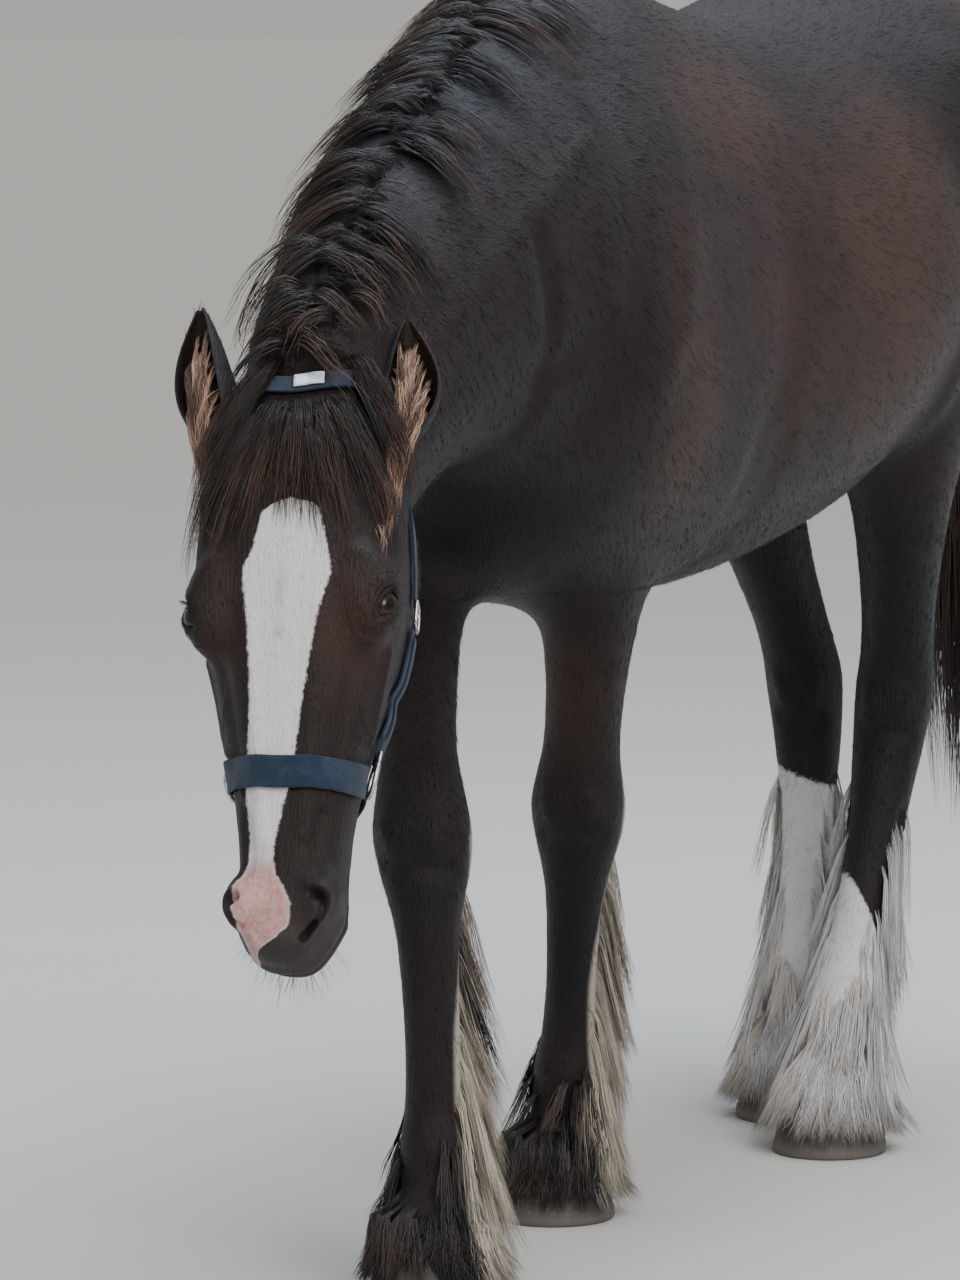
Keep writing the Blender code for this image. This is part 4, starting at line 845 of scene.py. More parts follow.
BLACK_PLACES = [
    ((0.06, 0.1, 0.35), (0.13, 0.16, 0.22), 1.0), ((-0.02, -0.34, 0.42), (0.1, 0.14, 0.22), 0.7),
    ((0.28, 0.82, 0.55), (0.16, 0.26, 0.32), 1.0), ((0.12, 0.96, 0.55), (0.14, 0.26, 0.32), 1.0),
    ((0.0, -0.96, 0.46), (0.1, 0.08, 0.1), 0.7), ((0.0, -0.3, 1.25), (0.14, 0.35, 0.12), 0.8),
    ((0.26, 1.3, 1.22), (0.1, 0.12, 0.16), 0.8), ((0.02, -0.2, 0.8), (0.2, 0.14, 0.14), 0.8),
    ((-0.026, -0.832, 0.792), (0.0055, 0.03, 0.024), 1.0),
    ((-0.024, -0.845, 0.748), (0.006, 0.03, 0.01), 1.0),
]


def tones(points):
    """How brown and how black the coat is, and how far each place lies on the bare muzzle. The brown is
    partly the coat's own and partly painted sunlight on the back.
    """
    amounts = []
    for places in (BROWN_AND_PAINTED_SUNLIGHT_PLACES, BLACK_PLACES):
        amount = np.zeros(len(points))
        for centre, reach, strength in places:
            away = np.linalg.norm((points - np.array(centre)) / np.array(reach), axis=1)
            amount = np.maximum(amount, strength * (1 - ease(away, 0.15, 1.35)))
        amounts.append(amount)
    down = head_places(points)[:, 2]
    muzzle = ease(down, 0.515, 0.575) * (points[:, 1] < HEAD_Y)
    return np.stack((amounts[0], amounts[1], muzzle), axis=1)


def combed(points):
    """Coordinates drawn out along the lie of the coat, for the streaks of the bump."""
    places = head_places(points)
    head = points[:, 1] < HEAD_Y
    leg = points[:, 2] < 0.72
    lie = np.array((0.0, 0.86, -0.51))
    along = points @ lie
    body = points - np.outer(along, lie) * 0.93
    low = points * np.array((1.0, 1.0, 0.07))
    face = places * np.array((1.0, 1.0, 0.1))
    return np.where(head[:, None], face, np.where(leg[:, None], low, body))


def write_vectors(mesh, name, values):
    layer = mesh.attributes.new(name, "FLOAT_VECTOR", "POINT")
    layer.data.foreach_set("vector", np.ascontiguousarray(values, np.float32).ravel())


def read_vectors(mesh, name):
    values = np.empty(len(mesh.vertices) * 3, np.float32)
    mesh.attributes[name].data.foreach_get("vector", values)
    return values.reshape(-1, 3).astype(float)


def show(name, mesh, finish, nodes=()):
    """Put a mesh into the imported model's frame as a piece, on its body, with its finish."""
    mesh.name = name
    mesh.transform(Matrix.Translation(-CENTRE))
    mesh.shade_smooth()
    mesh.materials.clear()
    mesh.materials.append(finish)
    piece = bpy.data.objects.new(name, mesh)
    bpy.context.scene.collection.objects.link(piece)
    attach(piece, "root")
    if nodes:
        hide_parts(*nodes)
    return piece


def skin_tree(with_ears=True):
    """A tree for finding places on the skin, in the maker's frame."""
    mesh = bpy.data.objects["skin"].data
    bm = bmesh.new()
    bm.from_mesh(mesh)
    if not with_ears:
        ears = [vert for vert in bm.verts if vert.index >= mesh["first_of_ears"]]
        bmesh.ops.delete(bm, geom=ears, context="VERTS")
    bmesh.ops.translate(bm, verts=bm.verts, vec=CENTRE)
    tree = BVHTree.FromBMesh(bm)
    bm.free()
    return tree


def make_skin(sizes):
    """The one skin, with its markings and tones stored at its points."""
    mesh = fused_flesh()
    bm = bmesh.new()
    bm.from_mesh(mesh)
    refine(bm, lambda spot: spot.y < FACE_Y)
    eyes = [eye_axes(hand)[0] for hand in (-1, 1)]
    muzzle = on_head(0.0, -0.03, 0.57)
    refine(bm, lambda spot: (spot - muzzle).length < NEAR_MUZZLE
           or min((spot - eye).length for eye in eyes) < NEAR_EYE)
    nostrils = [on_head(hand * 0.046 * NOSTRIL_ASIDE[hand], 0.0, 0.565) for hand in (-1, 1)]
    refine(bm, lambda spot: min((spot - place).length for place in nostrils) < NEAR_NOSTRIL)
    bm.to_mesh(mesh)
    bm.free()
    sculpt(mesh)
    points, normals = coordinates(mesh), vertex_normals(mesh)
    set_coordinates(mesh, points - normals * sizes.coat_depth)
    tree = tree_over(mesh)
    sink_sockets(mesh)
    bm = bmesh.new()
    bm.from_mesh(mesh)
    for hand in (-1, 1):
        add_lids(bm, tree, hand)
    ear = [0] * len(bm.verts)
    for hand in (-1, 1):
        bm.from_mesh(ear_mesh(hand))
        ear += [hand] * (len(bm.verts) - len(ear))
    bm.to_mesh(mesh)
    bm.free()
    mesh["first_of_ears"] = ear.index(-1)
    points = coordinates(mesh)
    stored = {"root": points, "marks": markings(points), "tones": tones(points), "combed": combed(points),
              "lie": lie_of_coat(points, np.array(ear)), "tuft": np.tile((0.5, 0.5, 0.0), (len(points), 1))}
    for name, values in stored.items():
        write_vectors(mesh, name, values)
    return mesh


def around(points, origin, axis):
    """Places on an unwrap of a round form: the turn round its axis, and the way along it."""
    axis = unit(np.array(axis, float))
    other = (0.31, 0.17, 0.94) if abs(axis[2]) < 0.9 else (0.0, 1.0, 0.0)
    aside = unit(np.cross(axis, other))
    away = points - np.array(origin)
    along = away @ axis
    turn = np.arctan2(away @ np.cross(axis, aside), away @ aside) / (2 * math.pi) + 0.5
    share = (along - along.min()) / max(np.ptp(along), 1e-6)
    return np.stack((0.01 + 0.975 * turn, 0.01 + 0.975 * share), axis=1)


def strand_mesh(name, paths, facings, half_width, half_thick, roots, places, draws, taper):
    """Strands as closed, three-sided, tapered solids, each with its own patch of the OFBake map."""
    count, steps = paths.shape[:2]
    along = unit(np.gradient(paths, axis=1))
    out = unit(facings - along * (facings * along).sum(axis=2, keepdims=True))
    across = np.cross(along, out)
    wide = half_width[:, None, None] * taper[None, :, None]
    thick = half_thick[:, None, None] * taper[None, :, None]
    rings = np.stack((paths + across * wide - out * thick * 0.5, paths + out * thick,
                      paths - across * wide - out * thick * 0.5), axis=2)
    each = 3 * (steps - 1) + 1
    points = np.concatenate((rings[:, :-1].reshape(count, each - 1, 3), paths[:, -1:]), axis=1)
    faces = [(0, 1, 2)]
    for k in range(0, 3 * (steps - 2), 3):
        for n in range(3):
            a, b = k + n, k + (n + 1) % 3
            faces += [(a, b + 3, b), (a, a + 3, b + 3)]
    last = 3 * (steps - 2)
    faces += [(last + (n + 1) % 3, last + n, each - 1) for n in range(3)]
    faces = np.array(faces)[None] + (np.arange(count) * each)[:, None, None]
    corners = faces.ravel().astype(np.int32)
    mesh = bpy.data.meshes.new(name)
    mesh.vertices.add(count * each)
    mesh.vertices.foreach_set("co", points.astype(np.float32).ravel())
    mesh.loops.add(len(corners))
    mesh.loops.foreach_set("vertex_index", corners)
    mesh.polygons.add(len(corners) // 3)
    mesh.polygons.foreach_set("loop_start", np.arange(0, len(corners), 3, dtype=np.int32))
    mesh.update(calc_edges=True)
    share = np.append(np.repeat(np.arange(steps - 1), 3), steps - 1) / (steps - 1)
    side = np.append(np.tile((0.0, 0.5, 1.0), steps - 1), 0.5)
    patch = np.stack((side, share), axis=1) * PATCH
    spots = (places[:, None] + patch[None]).reshape(-1, 2)
    mesh.uv_layers.new(name="OFBake").data.foreach_set("uv", spots[corners].astype(np.float32).ravel())
    for name, values in (("root", roots), ("marks", markings(roots)), ("tones", tones(roots))):
        write_vectors(mesh, name, np.repeat(values, each, axis=0))
    tuft = np.stack((np.repeat(draws, each), np.tile(share, count), np.zeros(count * each)), axis=1)
    write_vectors(mesh, "tuft", tuft)
    return mesh


def coat_length(points):
    """How long the short hair grows at places on the skin."""
    y, z = points[:, 1], points[:, 2]
    down = head_places(points)[:, 2]
    body = 0.022 - 0.009 * (1 - ease(z, 0.45, 0.85))
    face = np.interp(down, (0.0, 0.1, 0.3, 0.5, 0.56, 0.62), (0.014, 0.01, 0.007, 0.006, 0.003, 0.0025))
    head = ease(-y, 0.6, 0.7)
    return body * (1 - head) + face * head


def coat_density(points, ear):
    """How many short tufts grow on a square metre."""
    y, z = points[:, 1], points[:, 2]
    head = ease(-y, 0.6, 0.7)
    low = 1 - ease(z, 0.5, 0.8)
    body = TUFTS_ON_BODY * (1 - head) * (1 - low) + TUFTS_ON_LEG * (1 - head) * low
    return np.where(ear, TUFTS_ON_EAR, body + TUFTS_ON_HEAD * head)


def grow_short_coat(sizes, finish):
    """Short tufts over the whole skin, in pieces by region."""
    rng = np.random.default_rng(3)
    mesh = bpy.data.objects["skin"].data
    mesh.calc_loop_triangles()
    corners = np.empty(len(mesh.loop_triangles) * 3, np.int32)
    mesh.loop_triangles.foreach_get("vertices", corners)
    corners = corners.reshape(-1, 3)
    points, normals, lies = read_vectors(mesh, "root"), vertex_normals(mesh), read_vectors(mesh, "lie")
    a, b, c = (points[corners[:, k]] for k in range(3))
    areas = np.linalg.norm(np.cross(b - a, c - a), axis=1) / 2
    middle = (a + b + c) / 3
    tips = head_places(middle)
    on_ear = (np.abs(tips[:, 0]) > 0.045) & (tips[:, 2] < 0.035) & (middle[:, 1] < HEAD_Y)
    expected = areas * coat_density(middle, on_ear) * sizes.coat_density
    counts = rng.poisson(expected)
    chosen = np.repeat(np.arange(len(corners)), counts)
    shares = rng.dirichlet((1, 1, 1), len(chosen))[:, :, None]
    roots = (points[corners[chosen]] * shares).sum(axis=1)
    outs = unit((normals[corners[chosen]] * shares).sum(axis=1))
    lie = (lies[corners[chosen]] * shares).sum(axis=1)
    lie = lie + rng.normal(0, 0.16, lie.shape)
    lie = unit(lie - outs * (lie * outs).sum(axis=1, keepdims=True))
    length = coat_length(roots) * rng.uniform(0.7, 1.25, len(roots))
    length[on_ear[chosen]] = 0.009
    lift = rng.uniform(0.04, 0.11, len(roots))
    ends = roots + (lie + outs * lift[:, None]) * length[:, None]
    starts = roots - outs * 0.0008
    paths = np.stack((starts, ends), axis=1)
    facings = np.repeat(outs[:, None], 2, axis=1)
    half_width = sizes.tuft_width / 2 * np.clip(length / 0.018, 0.5, 1.1) * rng.uniform(0.8, 1.2, len(roots))
    draws = rng.random(len(roots))
    left, front, down = head_places(roots).T
    y, z = roots[:, 1], roots[:, 2]
    head, low = y < HEAD_Y, z < LEG_HEIGHT
    keep = ~(head & bare_muzzle(left, front, down))
    regions = {
        "coat_head": (head, (0, -0.85, 0.7), HEAD_TURN.col[2]),
        "coat_neck": (~head & ~low & (y < -0.1), (0, -0.3, 1.05), (0, 0.8, 0.6)),
        "coat_barrel": (~head & ~low & (y >= -0.1) & (y < 0.62), (0.05, 0.3, 1.05), (0, 1, 0)),
        "coat_quarters": (~head & ~low & (y >= 0.62), (0.18, 0.9, 1.1), (0.2, 1, 0)),
        "coat_legs_fore": (~head & low & (y < 0.4), (0.02, -0.1, 0.4), (0, 0, 1)),
        "coat_legs_hind": (~head & low & (y >= 0.4), (0.2, 0.85, 0.4), (0, 0, 1)),
    }
    for name, (inside, origin, axis) in regions.items():
        some = inside & keep
        places = around(roots[some], origin, tuple(axis))
        piece = strand_mesh(name, paths[some], facings[some], half_width[some], half_width[some] * 0.35,
                            roots[some], places, draws[some], np.array((1.0, 0.0)))
        show(name, piece, finish)


def bare_muzzle(left, front, down):
    """Where the muzzle is bare: the lips' line and inside the nostrils."""
    lips = (np.abs(front - MOUTH_FRONT) < 0.004) & (down > 0.53)
    middle = np.mean(NOSTRIL, axis=0)
    hollow = np.hypot(np.abs(left) - middle[0], down - middle[1]) < 0.014
    return lips | (hollow & (front > -0.05))


def comb(guides, facings, each, root_spread, tip_spread, rng, frizz, shortest):
    """Strands round each guide. They spread as the two distances say, and end at lengths of their own."""
    count, steps = guides.shape[:2]
    share = np.linspace(0, 1, steps)
    along = unit(np.gradient(guides, axis=1))
    across = unit(np.cross(along, facings))
    turn = rng.uniform(0, 2 * math.pi, (count, each))[..., None, None]
    away = np.sqrt(rng.random((count, each)))[..., None, None]
    spread = (root_spread + (tip_spread - root_spread) * share)[None, None, :, None]
    offset = across[:, None] * np.cos(turn) + facings[:, None] * np.sin(turn) * 0.55
    paths = guides[:, None] + offset * away * spread
    phase = rng.uniform(0, 2 * math.pi, (count, each))[..., None]
    wave = np.sin(share * 11 + phase) * frizz * share + np.sin(share * 23 + 2 * phase) * frizz * 0.4 * share
    paths = paths + across[:, None] * wave[..., None]
    cut = rng.uniform(shortest, 1.0, (count, each))
    spot = share[None, None] * cut[..., None] * (steps - 1)
    low = np.minimum(spot.astype(int), steps - 2)
    part = (spot - low)[..., None]
    low = low[..., None].repeat(3, axis=3)
    paths = np.take_along_axis(paths, low, 2) * (1 - part) + np.take_along_axis(paths, low + 1, 2) * part
    outs = np.repeat(facings[:, None], each, axis=1)
    return paths.reshape(-1, steps, 3), outs.reshape(-1, steps, 3)


def long_taper(steps):
    """The width of a long strand along its length, as a share."""
    share = np.linspace(0, 1, steps)
    return np.where(share < 0.999, (0.55 + 0.45 * np.sin(math.pi * np.minimum(share * 1.6, 1.0) * 0.5))
                    * (1 - 0.65 * share ** 2), 0.0)


def grow_long_hair(name, kind, guides, facings, finish, more_seed=0, nodes=()):
    """One piece of long hair of a kind, from its guides."""
    seed, each, half_width, root_spread, tip_spread, axis, frizz, shortest = LONG_HAIR[kind]
    rng = np.random.default_rng(seed + more_seed)
    guides, facings = np.array(guides), unit(np.array(facings))
    paths, outs = comb(guides, facings, each, root_spread, tip_spread, rng, frizz, shortest)
    paths[:, :, 2] = np.maximum(paths[:, :, 2], STRAND_FLOOR)
    roots = paths[:, 0].copy()
    widths = half_width * rng.uniform(0.7, 1.3, len(paths))
    clump = np.repeat(rng.random(len(guides)), each)
    draws = np.clip(0.7 * clump + 0.3 * rng.random(len(paths)), 0, 1)
    places = around(roots, roots.mean(axis=0), axis)
    mesh = strand_mesh(name, paths, outs, widths, widths * 0.4, roots, places, draws,
                       long_taper(guides.shape[1]))
    return show(name, mesh, finish, nodes)


def drape(tree, root, normal, way, length, lift, sag, steps, cling=1.0):
    """A path from a root that lies over the skin, no farther from it than its lift and cling."""
    path, facings = [root - normal * 0.004], [normal]
    point, way = root + normal * lift * 0.4, way.normalized()
    for _ in range(steps - 1):
        way = (way + Vector((0, 0, -sag))).normalized()
        point = point + way * length / (steps - 1)
        near, face, _, _ = tree.find_nearest(point)
        high = (point - near).dot(face)
        if high < lift:
            point = near + face * lift
            facings.append(face.copy())
        elif (point - near).length > lift + cling:
            point = near + (point - near).normalized() * (lift + cling)
            facings.append(face.copy())
        else:
            facings.append(facings[-1])
        path.append(point.copy())
    return path, facings


def grow_mane(sizes, finish):
    """Short ragged hair along the crest, in locks, most of which fall to the horse's right."""
    rng = np.random.default_rng(11)
    tree = skin_tree()
    rows = np.array(NECK)[::-1]
    hands = np.where(rng.random(MANE_LOCKS + 1) < 0.34, 1, -1)
    leans = rng.uniform(-0.35, 0.55, MANE_LOCKS + 1)
    lengths = rng.uniform(0.11, 0.2, MANE_LOCKS + 1)
    guides, facings = [], []
    for k in range(sizes.mane_guides):
        share = (k + rng.random()) / sizes.mane_guides
        lock = int(share * MANE_LOCKS + rng.uniform(0, 1))
        y = MANE_START + MANE_RUN * share
        middle = float(np.interp(y, rows[:, 0], rows[:, 4]))
        x = middle + rng.uniform(-0.024, 0.024)
        top, normal, _, _ = tree.ray_cast(Vector((x, y, 1.6)), Vector((0, 0, -1)))
        hand = hands[lock] if rng.random() < 0.85 else -hands[lock]
        lean = leans[lock] * 0.5
        way = Vector((hand * rng.uniform(0.6, 1.0), lean + rng.normal(0, 0.12), rng.uniform(0.05, 0.45)))
        length = lengths[lock] * rng.uniform(0.75, 1.1) * (0.8 if hand > 0 else 1.0) * sizes.mane_length
        lift, sag = rng.uniform(0.004, 0.02), rng.uniform(0.3, 0.5)
        path, outs = drape(tree, top, normal, way, length, lift, sag, 8)
        guides.append(path)
        facings.append(outs)
    grow_long_hair("mane", "mane", guides, facings, finish)


def grow_forelock(sizes, finish):
    """Hair that falls over the forehead to the blaze, a third of it from behind the crownpiece."""
    rng = np.random.default_rng(21)
    tree = skin_tree()
    side, ahead, down = (HEAD_TURN.col[k].copy() for k in range(3))
    guides, facings = [], []
    for k in range(sizes.forelock_guides):
        across = rng.uniform(-1, 1)
        high = k % 3 == 0
        if high:
            across = 0.85 + 0.2 * across if across > 0 else 0.65 * across - 0.35
        below_poll = rng.uniform(-0.04, -0.008) if high else rng.uniform(0.012, 0.06)
        start = on_head(across * 0.056, 0.2, below_poll)
        root, normal, _, _ = tree.ray_cast(start, -ahead)
        if root is None:
            continue
        way = down + side * (across * 0.72 + rng.normal(0, 0.12)) + ahead * 0.1
        length = (0.15 + 0.055 * abs(across)) * rng.uniform(0.3, 1.0) * sizes.forelock_length
        lift = rng.uniform(0.007, 0.011) if high else rng.uniform(0.001, 0.007)
        path, outs = drape(tree, root, normal, way, length, lift, 0.1, 8, 0.004)
        guides.append(path)
        facings.append(outs)
    grow_long_hair("forelock", "forelock", guides, facings, finish)


def grow_ear_hair(sizes, finish):
    """Long pale hair that streams out of each ear and down beside the cheek."""
    rng = np.random.default_rng(31)
    tree = skin_tree()
    for hand, name in ((1, "ear_hair_left"), (-1, "ear_hair_right")):
        along, look, across = ear_axes(hand)
        guides, facings = [], []
        for _ in range(sizes.ear_hair_guides):
            share = rng.uniform(0.02, 0.88) ** 0.9
            radius = np.interp(share, [row[0] for row in EAR_ROWS], [row[1] for row in EAR_ROWS])
            turn = rng.uniform(-1.25, 1.25)
            middle = ear_line(hand, share)
            start = middle + (across * math.sin(turn) - look * math.cos(turn)) * radius * 0.86
            fall = rng.uniform(0.08, 0.175)
            path = [start]
            for n in range(1, 9):
                run = n / 8
                out = radius * (-math.cos(turn) * 0.8 * (1 - run) ** 2 + min(0.95, run * 2.2)) + 0.002
                point = (middle + look * out + across * (math.sin(turn) * radius * (1 - 0.95 * run ** 0.6))
                         - along * fall * run ** 1.25)
                near, face, _, _ = tree.find_nearest(point)
                if n > 5 and (point - near).dot(face) < 0.005:
                    point = near + face * 0.005
                path.append(point)
            guides.append(path)
            facings.append([look] * 9)
        grow_long_hair(name, "ear_hair", guides, facings, finish, hand)


def grow_tail(sizes, finish):
    """A long full tail from under the dock to below the hocks."""
    rng = np.random.default_rng(41)
    tree = skin_tree()
    rows = np.array(TAIL_LINE)[::-1]
    guides, facings = [], []
    for _ in range(sizes.tail_guides):
        turn = rng.uniform(0, 2 * math.pi)
        out = np.array((math.cos(turn), math.sin(turn), 0.0))
        start_z = 1.285 - 0.17 * rng.random() ** 1.4
        reach = math.sqrt(rng.random())
        end_z = 0.285 + 0.34 * rng.random() ** 1.6 if reach > 0.4 else 0.285 + 0.12 * rng.random()
        x, y = (np.interp(start_z, rows[:, 2], rows[:, n]) for n in range(2))
        near, _, _, _ = tree.find_nearest(Vector(np.array((x, y, start_z)) + out * 0.05))
        wave, phase = rng.uniform(0.002, 0.009), rng.uniform(0, 6.28)
        path = [np.array(near)]
        for n in range(1, 12):
            run = n / 11
            z = start_z + (end_z - start_z) * run
            x, y, full = (np.interp(z, rows[:, 2], rows[:, m]) for m in (0, 1, 3))
            rise = min(run * 5, 1.0)
            sway = np.array((math.sin(run * 8 + phase), math.cos(run * 7 + phase), 0.0)) * wave
            away = full * (0.35 + 0.65 * reach) * (0.55 + 0.45 * rise)
            path.append(np.array((x, y, z)) + out * away + sway)
        guides.append(path)
        facings.append([out] * 12)
    grow_long_hair("tail_hair", "tail", guides, facings, finish, nodes=("tail",))


def grow_feather(sizes, finish):
    """Long silky hair down the back of each cannon and all round the pastern over the hoof."""
    tree = skin_tree()
    for k, name in enumerate(LEG_NAMES):
        rng = np.random.default_rng(50 + k)
        joints, table = LEGS[name]
        top = cannon_top(name)
        fore = table is FORELEG
        guides, facings = [], []
        while len(guides) < sizes.feather_guides:
            round_hoof = len(guides) % 3 == 0
            first = -0.1 if fore else 0.02
            share = rng.uniform(0.7, 0.82) if round_hoof else first + 0.82 * rng.random() ** 0.75
            limit = math.radians(np.interp(share, *FEATHER_ANGLE) * (1.0 if fore else 1.9))
            limit = math.pi if round_hoof else min(limit, math.pi)
            skew = FEATHER_SKEW if fore else 0.0
            turn = math.pi - skew + rng.uniform(-1, 1) * limit
            behind = 0.5 - 0.5 * math.cos(turn + skew)
            out = Vector((math.sin(turn), -math.cos(turn), 0.0))
            z = top * (1 - share)
            x, y = leg_middle(joints, z)
            middle = Vector((x, y, z))
            root, _, _, _ = tree.ray_cast(middle + out * 0.16, -out)
            if root is None or (root - middle).length > 0.085:
                continue
            start = (root - middle).length
            fall = ((0.08 if fore else 0.1) + 0.09 * behind) * rng.uniform(0.7, 1.25)
            floor = FLOOR_GAP + 0.01 * rng.random() + 0.01 * (1 - behind)
            end = max(z - fall, floor)
            tip = np.interp(end, *FEATHER_REACH) + np.interp(end, *FEATHER_BEHIND) * behind ** 2.5
            tip *= rng.uniform(0.8, 1.06) * (1.0 if fore else 1.1)
            if not fore and end > 0.2:
                tip = min(tip, start + 0.022)
            tip = max(tip, start + 0.004, 0.08 if end < 0.045 else 0.0)
            drift = rng.normal(0, 0.24)
            path = []
            for n in range(6):
                run = n / 5
                height = z + (end - z) * run ** 1.1
                mx, my = leg_middle(joints, height)
                away = start - 0.004 + 0.007 * min(run * 5, 1.0) + (tip - start - 0.003) * run ** 1.4
                if height < 0.1 - 0.03 * behind:
                    away = max(away, HOOF_BRIM + 0.004 * run)
                aside = Vector((math.sin(turn + drift * run), -math.cos(turn + drift * run), 0.0))
                path.append(Vector((mx, my, height)) + aside * away)
            guides.append(path)
            facings.append([out] * 6)
        piece = grow_long_hair("feather_" + name, "feather", guides, facings, finish, k)
        if not fore:
            pale = np.tile((0.02, -0.1, -0.1), (len(piece.data.vertices), 1))
            piece.data.attributes["marks"].data.foreach_set("vector", pale.astype(np.float32).ravel())


def grow_whiskers(finish):
    """Single stiff hairs on the chin and lips, and the lashes."""
    rng = np.random.default_rng(71)
    tree = skin_tree()
    guides, facings = [], []
    for k in range(WHISKERS):
        chin = k < CHIN_WHISKERS
        angle = rng.uniform(-1.2, 1.2)
        front = rng.uniform(-0.105, -0.078) if chin else rng.uniform(-0.055, -0.015)
        aim = on_head(0.09 * math.sin(angle), front, 0.56 + 0.09 * math.cos(angle))
        hub = on_head(0.0, front, 0.55)
        root, normal, _, _ = tree.ray_cast(aim, (hub - aim).normalized())
        if root is None:
            continue
        way = (normal + HEAD_TURN.col[2] * 0.5 + Vector(rng.normal(0, 0.15, 3))).normalized()
        length = rng.uniform(0.014, 0.034) if chin else rng.uniform(0.008, 0.02)
        guides.append([root + way * length * n / 4 + Vector((0, 0, -0.18)) * length * (n / 4) ** 2
                       for n in range(5)])
        facings.append([normal] * 5)
    for hand in (-1, 1):
        centre, look, along, up = eye_axes(hand)
        for _ in range(LASHES):
            turn = math.radians(rng.uniform(18, 162))
            edge = lid_edge(turn)
            high = math.sqrt((EYE_RADIUS + 0.0012) ** 2 - edge @ edge)
            root = centre + along * edge[0] + up * edge[1] + look * high
            way = look * 0.8 + up * rng.uniform(0.3, 0.6) + along * 0.5 * math.cos(turn)
            length = rng.uniform(0.008, 0.014)
            guides.append([root + way * length * n / 4 - up * length * 0.5 * (n / 4) ** 2 for n in range(5)])
            facings.append([look] * 5)
    grow_long_hair("whiskers", "whiskers", guides, facings, finish)


def make_eye(hand, name, finish):
    """An eyeball with a raised cornea, which keeps how far each place lies from the gaze."""
    centre, look, along, up = eye_axes(hand)
    bm = bmesh.new()
    turn = Matrix((along, up, look)).transposed().to_4x4()
    bmesh.ops.create_uvsphere(bm, u_segments=48, v_segments=32, radius=1.0)
    gaze = np.array([vert.co for vert in bm.verts])
    for vert in bm.verts:
        swell = CORNEA_RISE * float(ease(vert.co.z, 0.72, 0.95))
        vert.co = vert.co * (EYE_RADIUS + swell)
    bmesh.ops.transform(bm, matrix=Matrix.Translation(centre) @ turn, verts=bm.verts)
    mesh = mesh_of(bm, name)
    write_vectors(mesh, "gaze", gaze)
    show(name + "_ball", mesh, finish, (name,))


def make_hoof(name, finish):
    """A hoof whose wall has growth rings, a slanted coronet and a flat sole with a rounded rim."""
    joints = LEGS[name][0]
    sole, top = Vector(joints[-1]), Vector(joints[-2])
    outlines = []
    rows = [(0.0, 0.955)]
    rows += [(k / 22, 1.0) for k in range(1, 22)]
    rows += [(0.955, 0.985), (0.975, 0.94), (1.0, 0.84)]
    for share, scale in rows:
        ripple = 1 + 0.006 * math.sin(share * 46) + 0.003 * math.sin(share * 103)
        width = (HOOF_BASE + (HOOF_TOP - HOOF_BASE) * share) * scale
        radius = width * (ripple if 0.05 < share < 0.98 else 1.0)
        middle = sole.lerp(top, share)
        outline = []
        for n in range(HOOF_SIDES):
            turn = 2 * math.pi * n / HOOF_SIDES
            heel = 1 - 0.05 * max(math.sin(turn), 0.0) ** 8
            x = radius * math.cos(turn) * HOOF_INSET
            y = radius * math.sin(turn) * (1.06 - 0.06 * share) * HOOF_INSET * heel
            rise = -y * CORONET_SLOPE * share
            outline.append(Vector((middle.x + x, middle.y + y - 0.004 * (1 - share), middle.z + rise)))
        outlines.append(outline)
    bm = bmesh.new()
    skin_over(bm, outlines)
    mesh = mesh_of(bm, name)
    write_vectors(mesh, "root", coordinates(mesh) - np.array(sole))
    show("hoof_wall_" + name, mesh, finish, ("hoof_" + name,))


def round_face(angle, down):
    """An aim across the head's long axis: 0 is its left, 90 its face."""
    turn = math.radians(angle)
    return (0.0, -0.075, down, math.cos(turn), math.sin(turn), 0.0)


def over_poll(angle):
    """An aim behind the ears and over the poll: 0 is the left, 90 the top."""
    turn = math.radians(angle)
    back, ahead = (float(np.interp(min(angle, 180 - angle), CROWN_ANGLES, row)) for row in CROWN_AIMS)
    return (0.0, back, 0.06, math.cos(turn), ahead, -math.sin(turn))


def met(tree, aim):
    """The point and normal of the skin on the way in to a hub, given as hub and outward way."""
    hub = on_head(*aim[:3])
    out = (HEAD_TURN @ Vector(aim[3:])).normalized()
    point, normal, _, _ = tree.ray_cast(hub + out * 0.17, -out)
    return point, normal


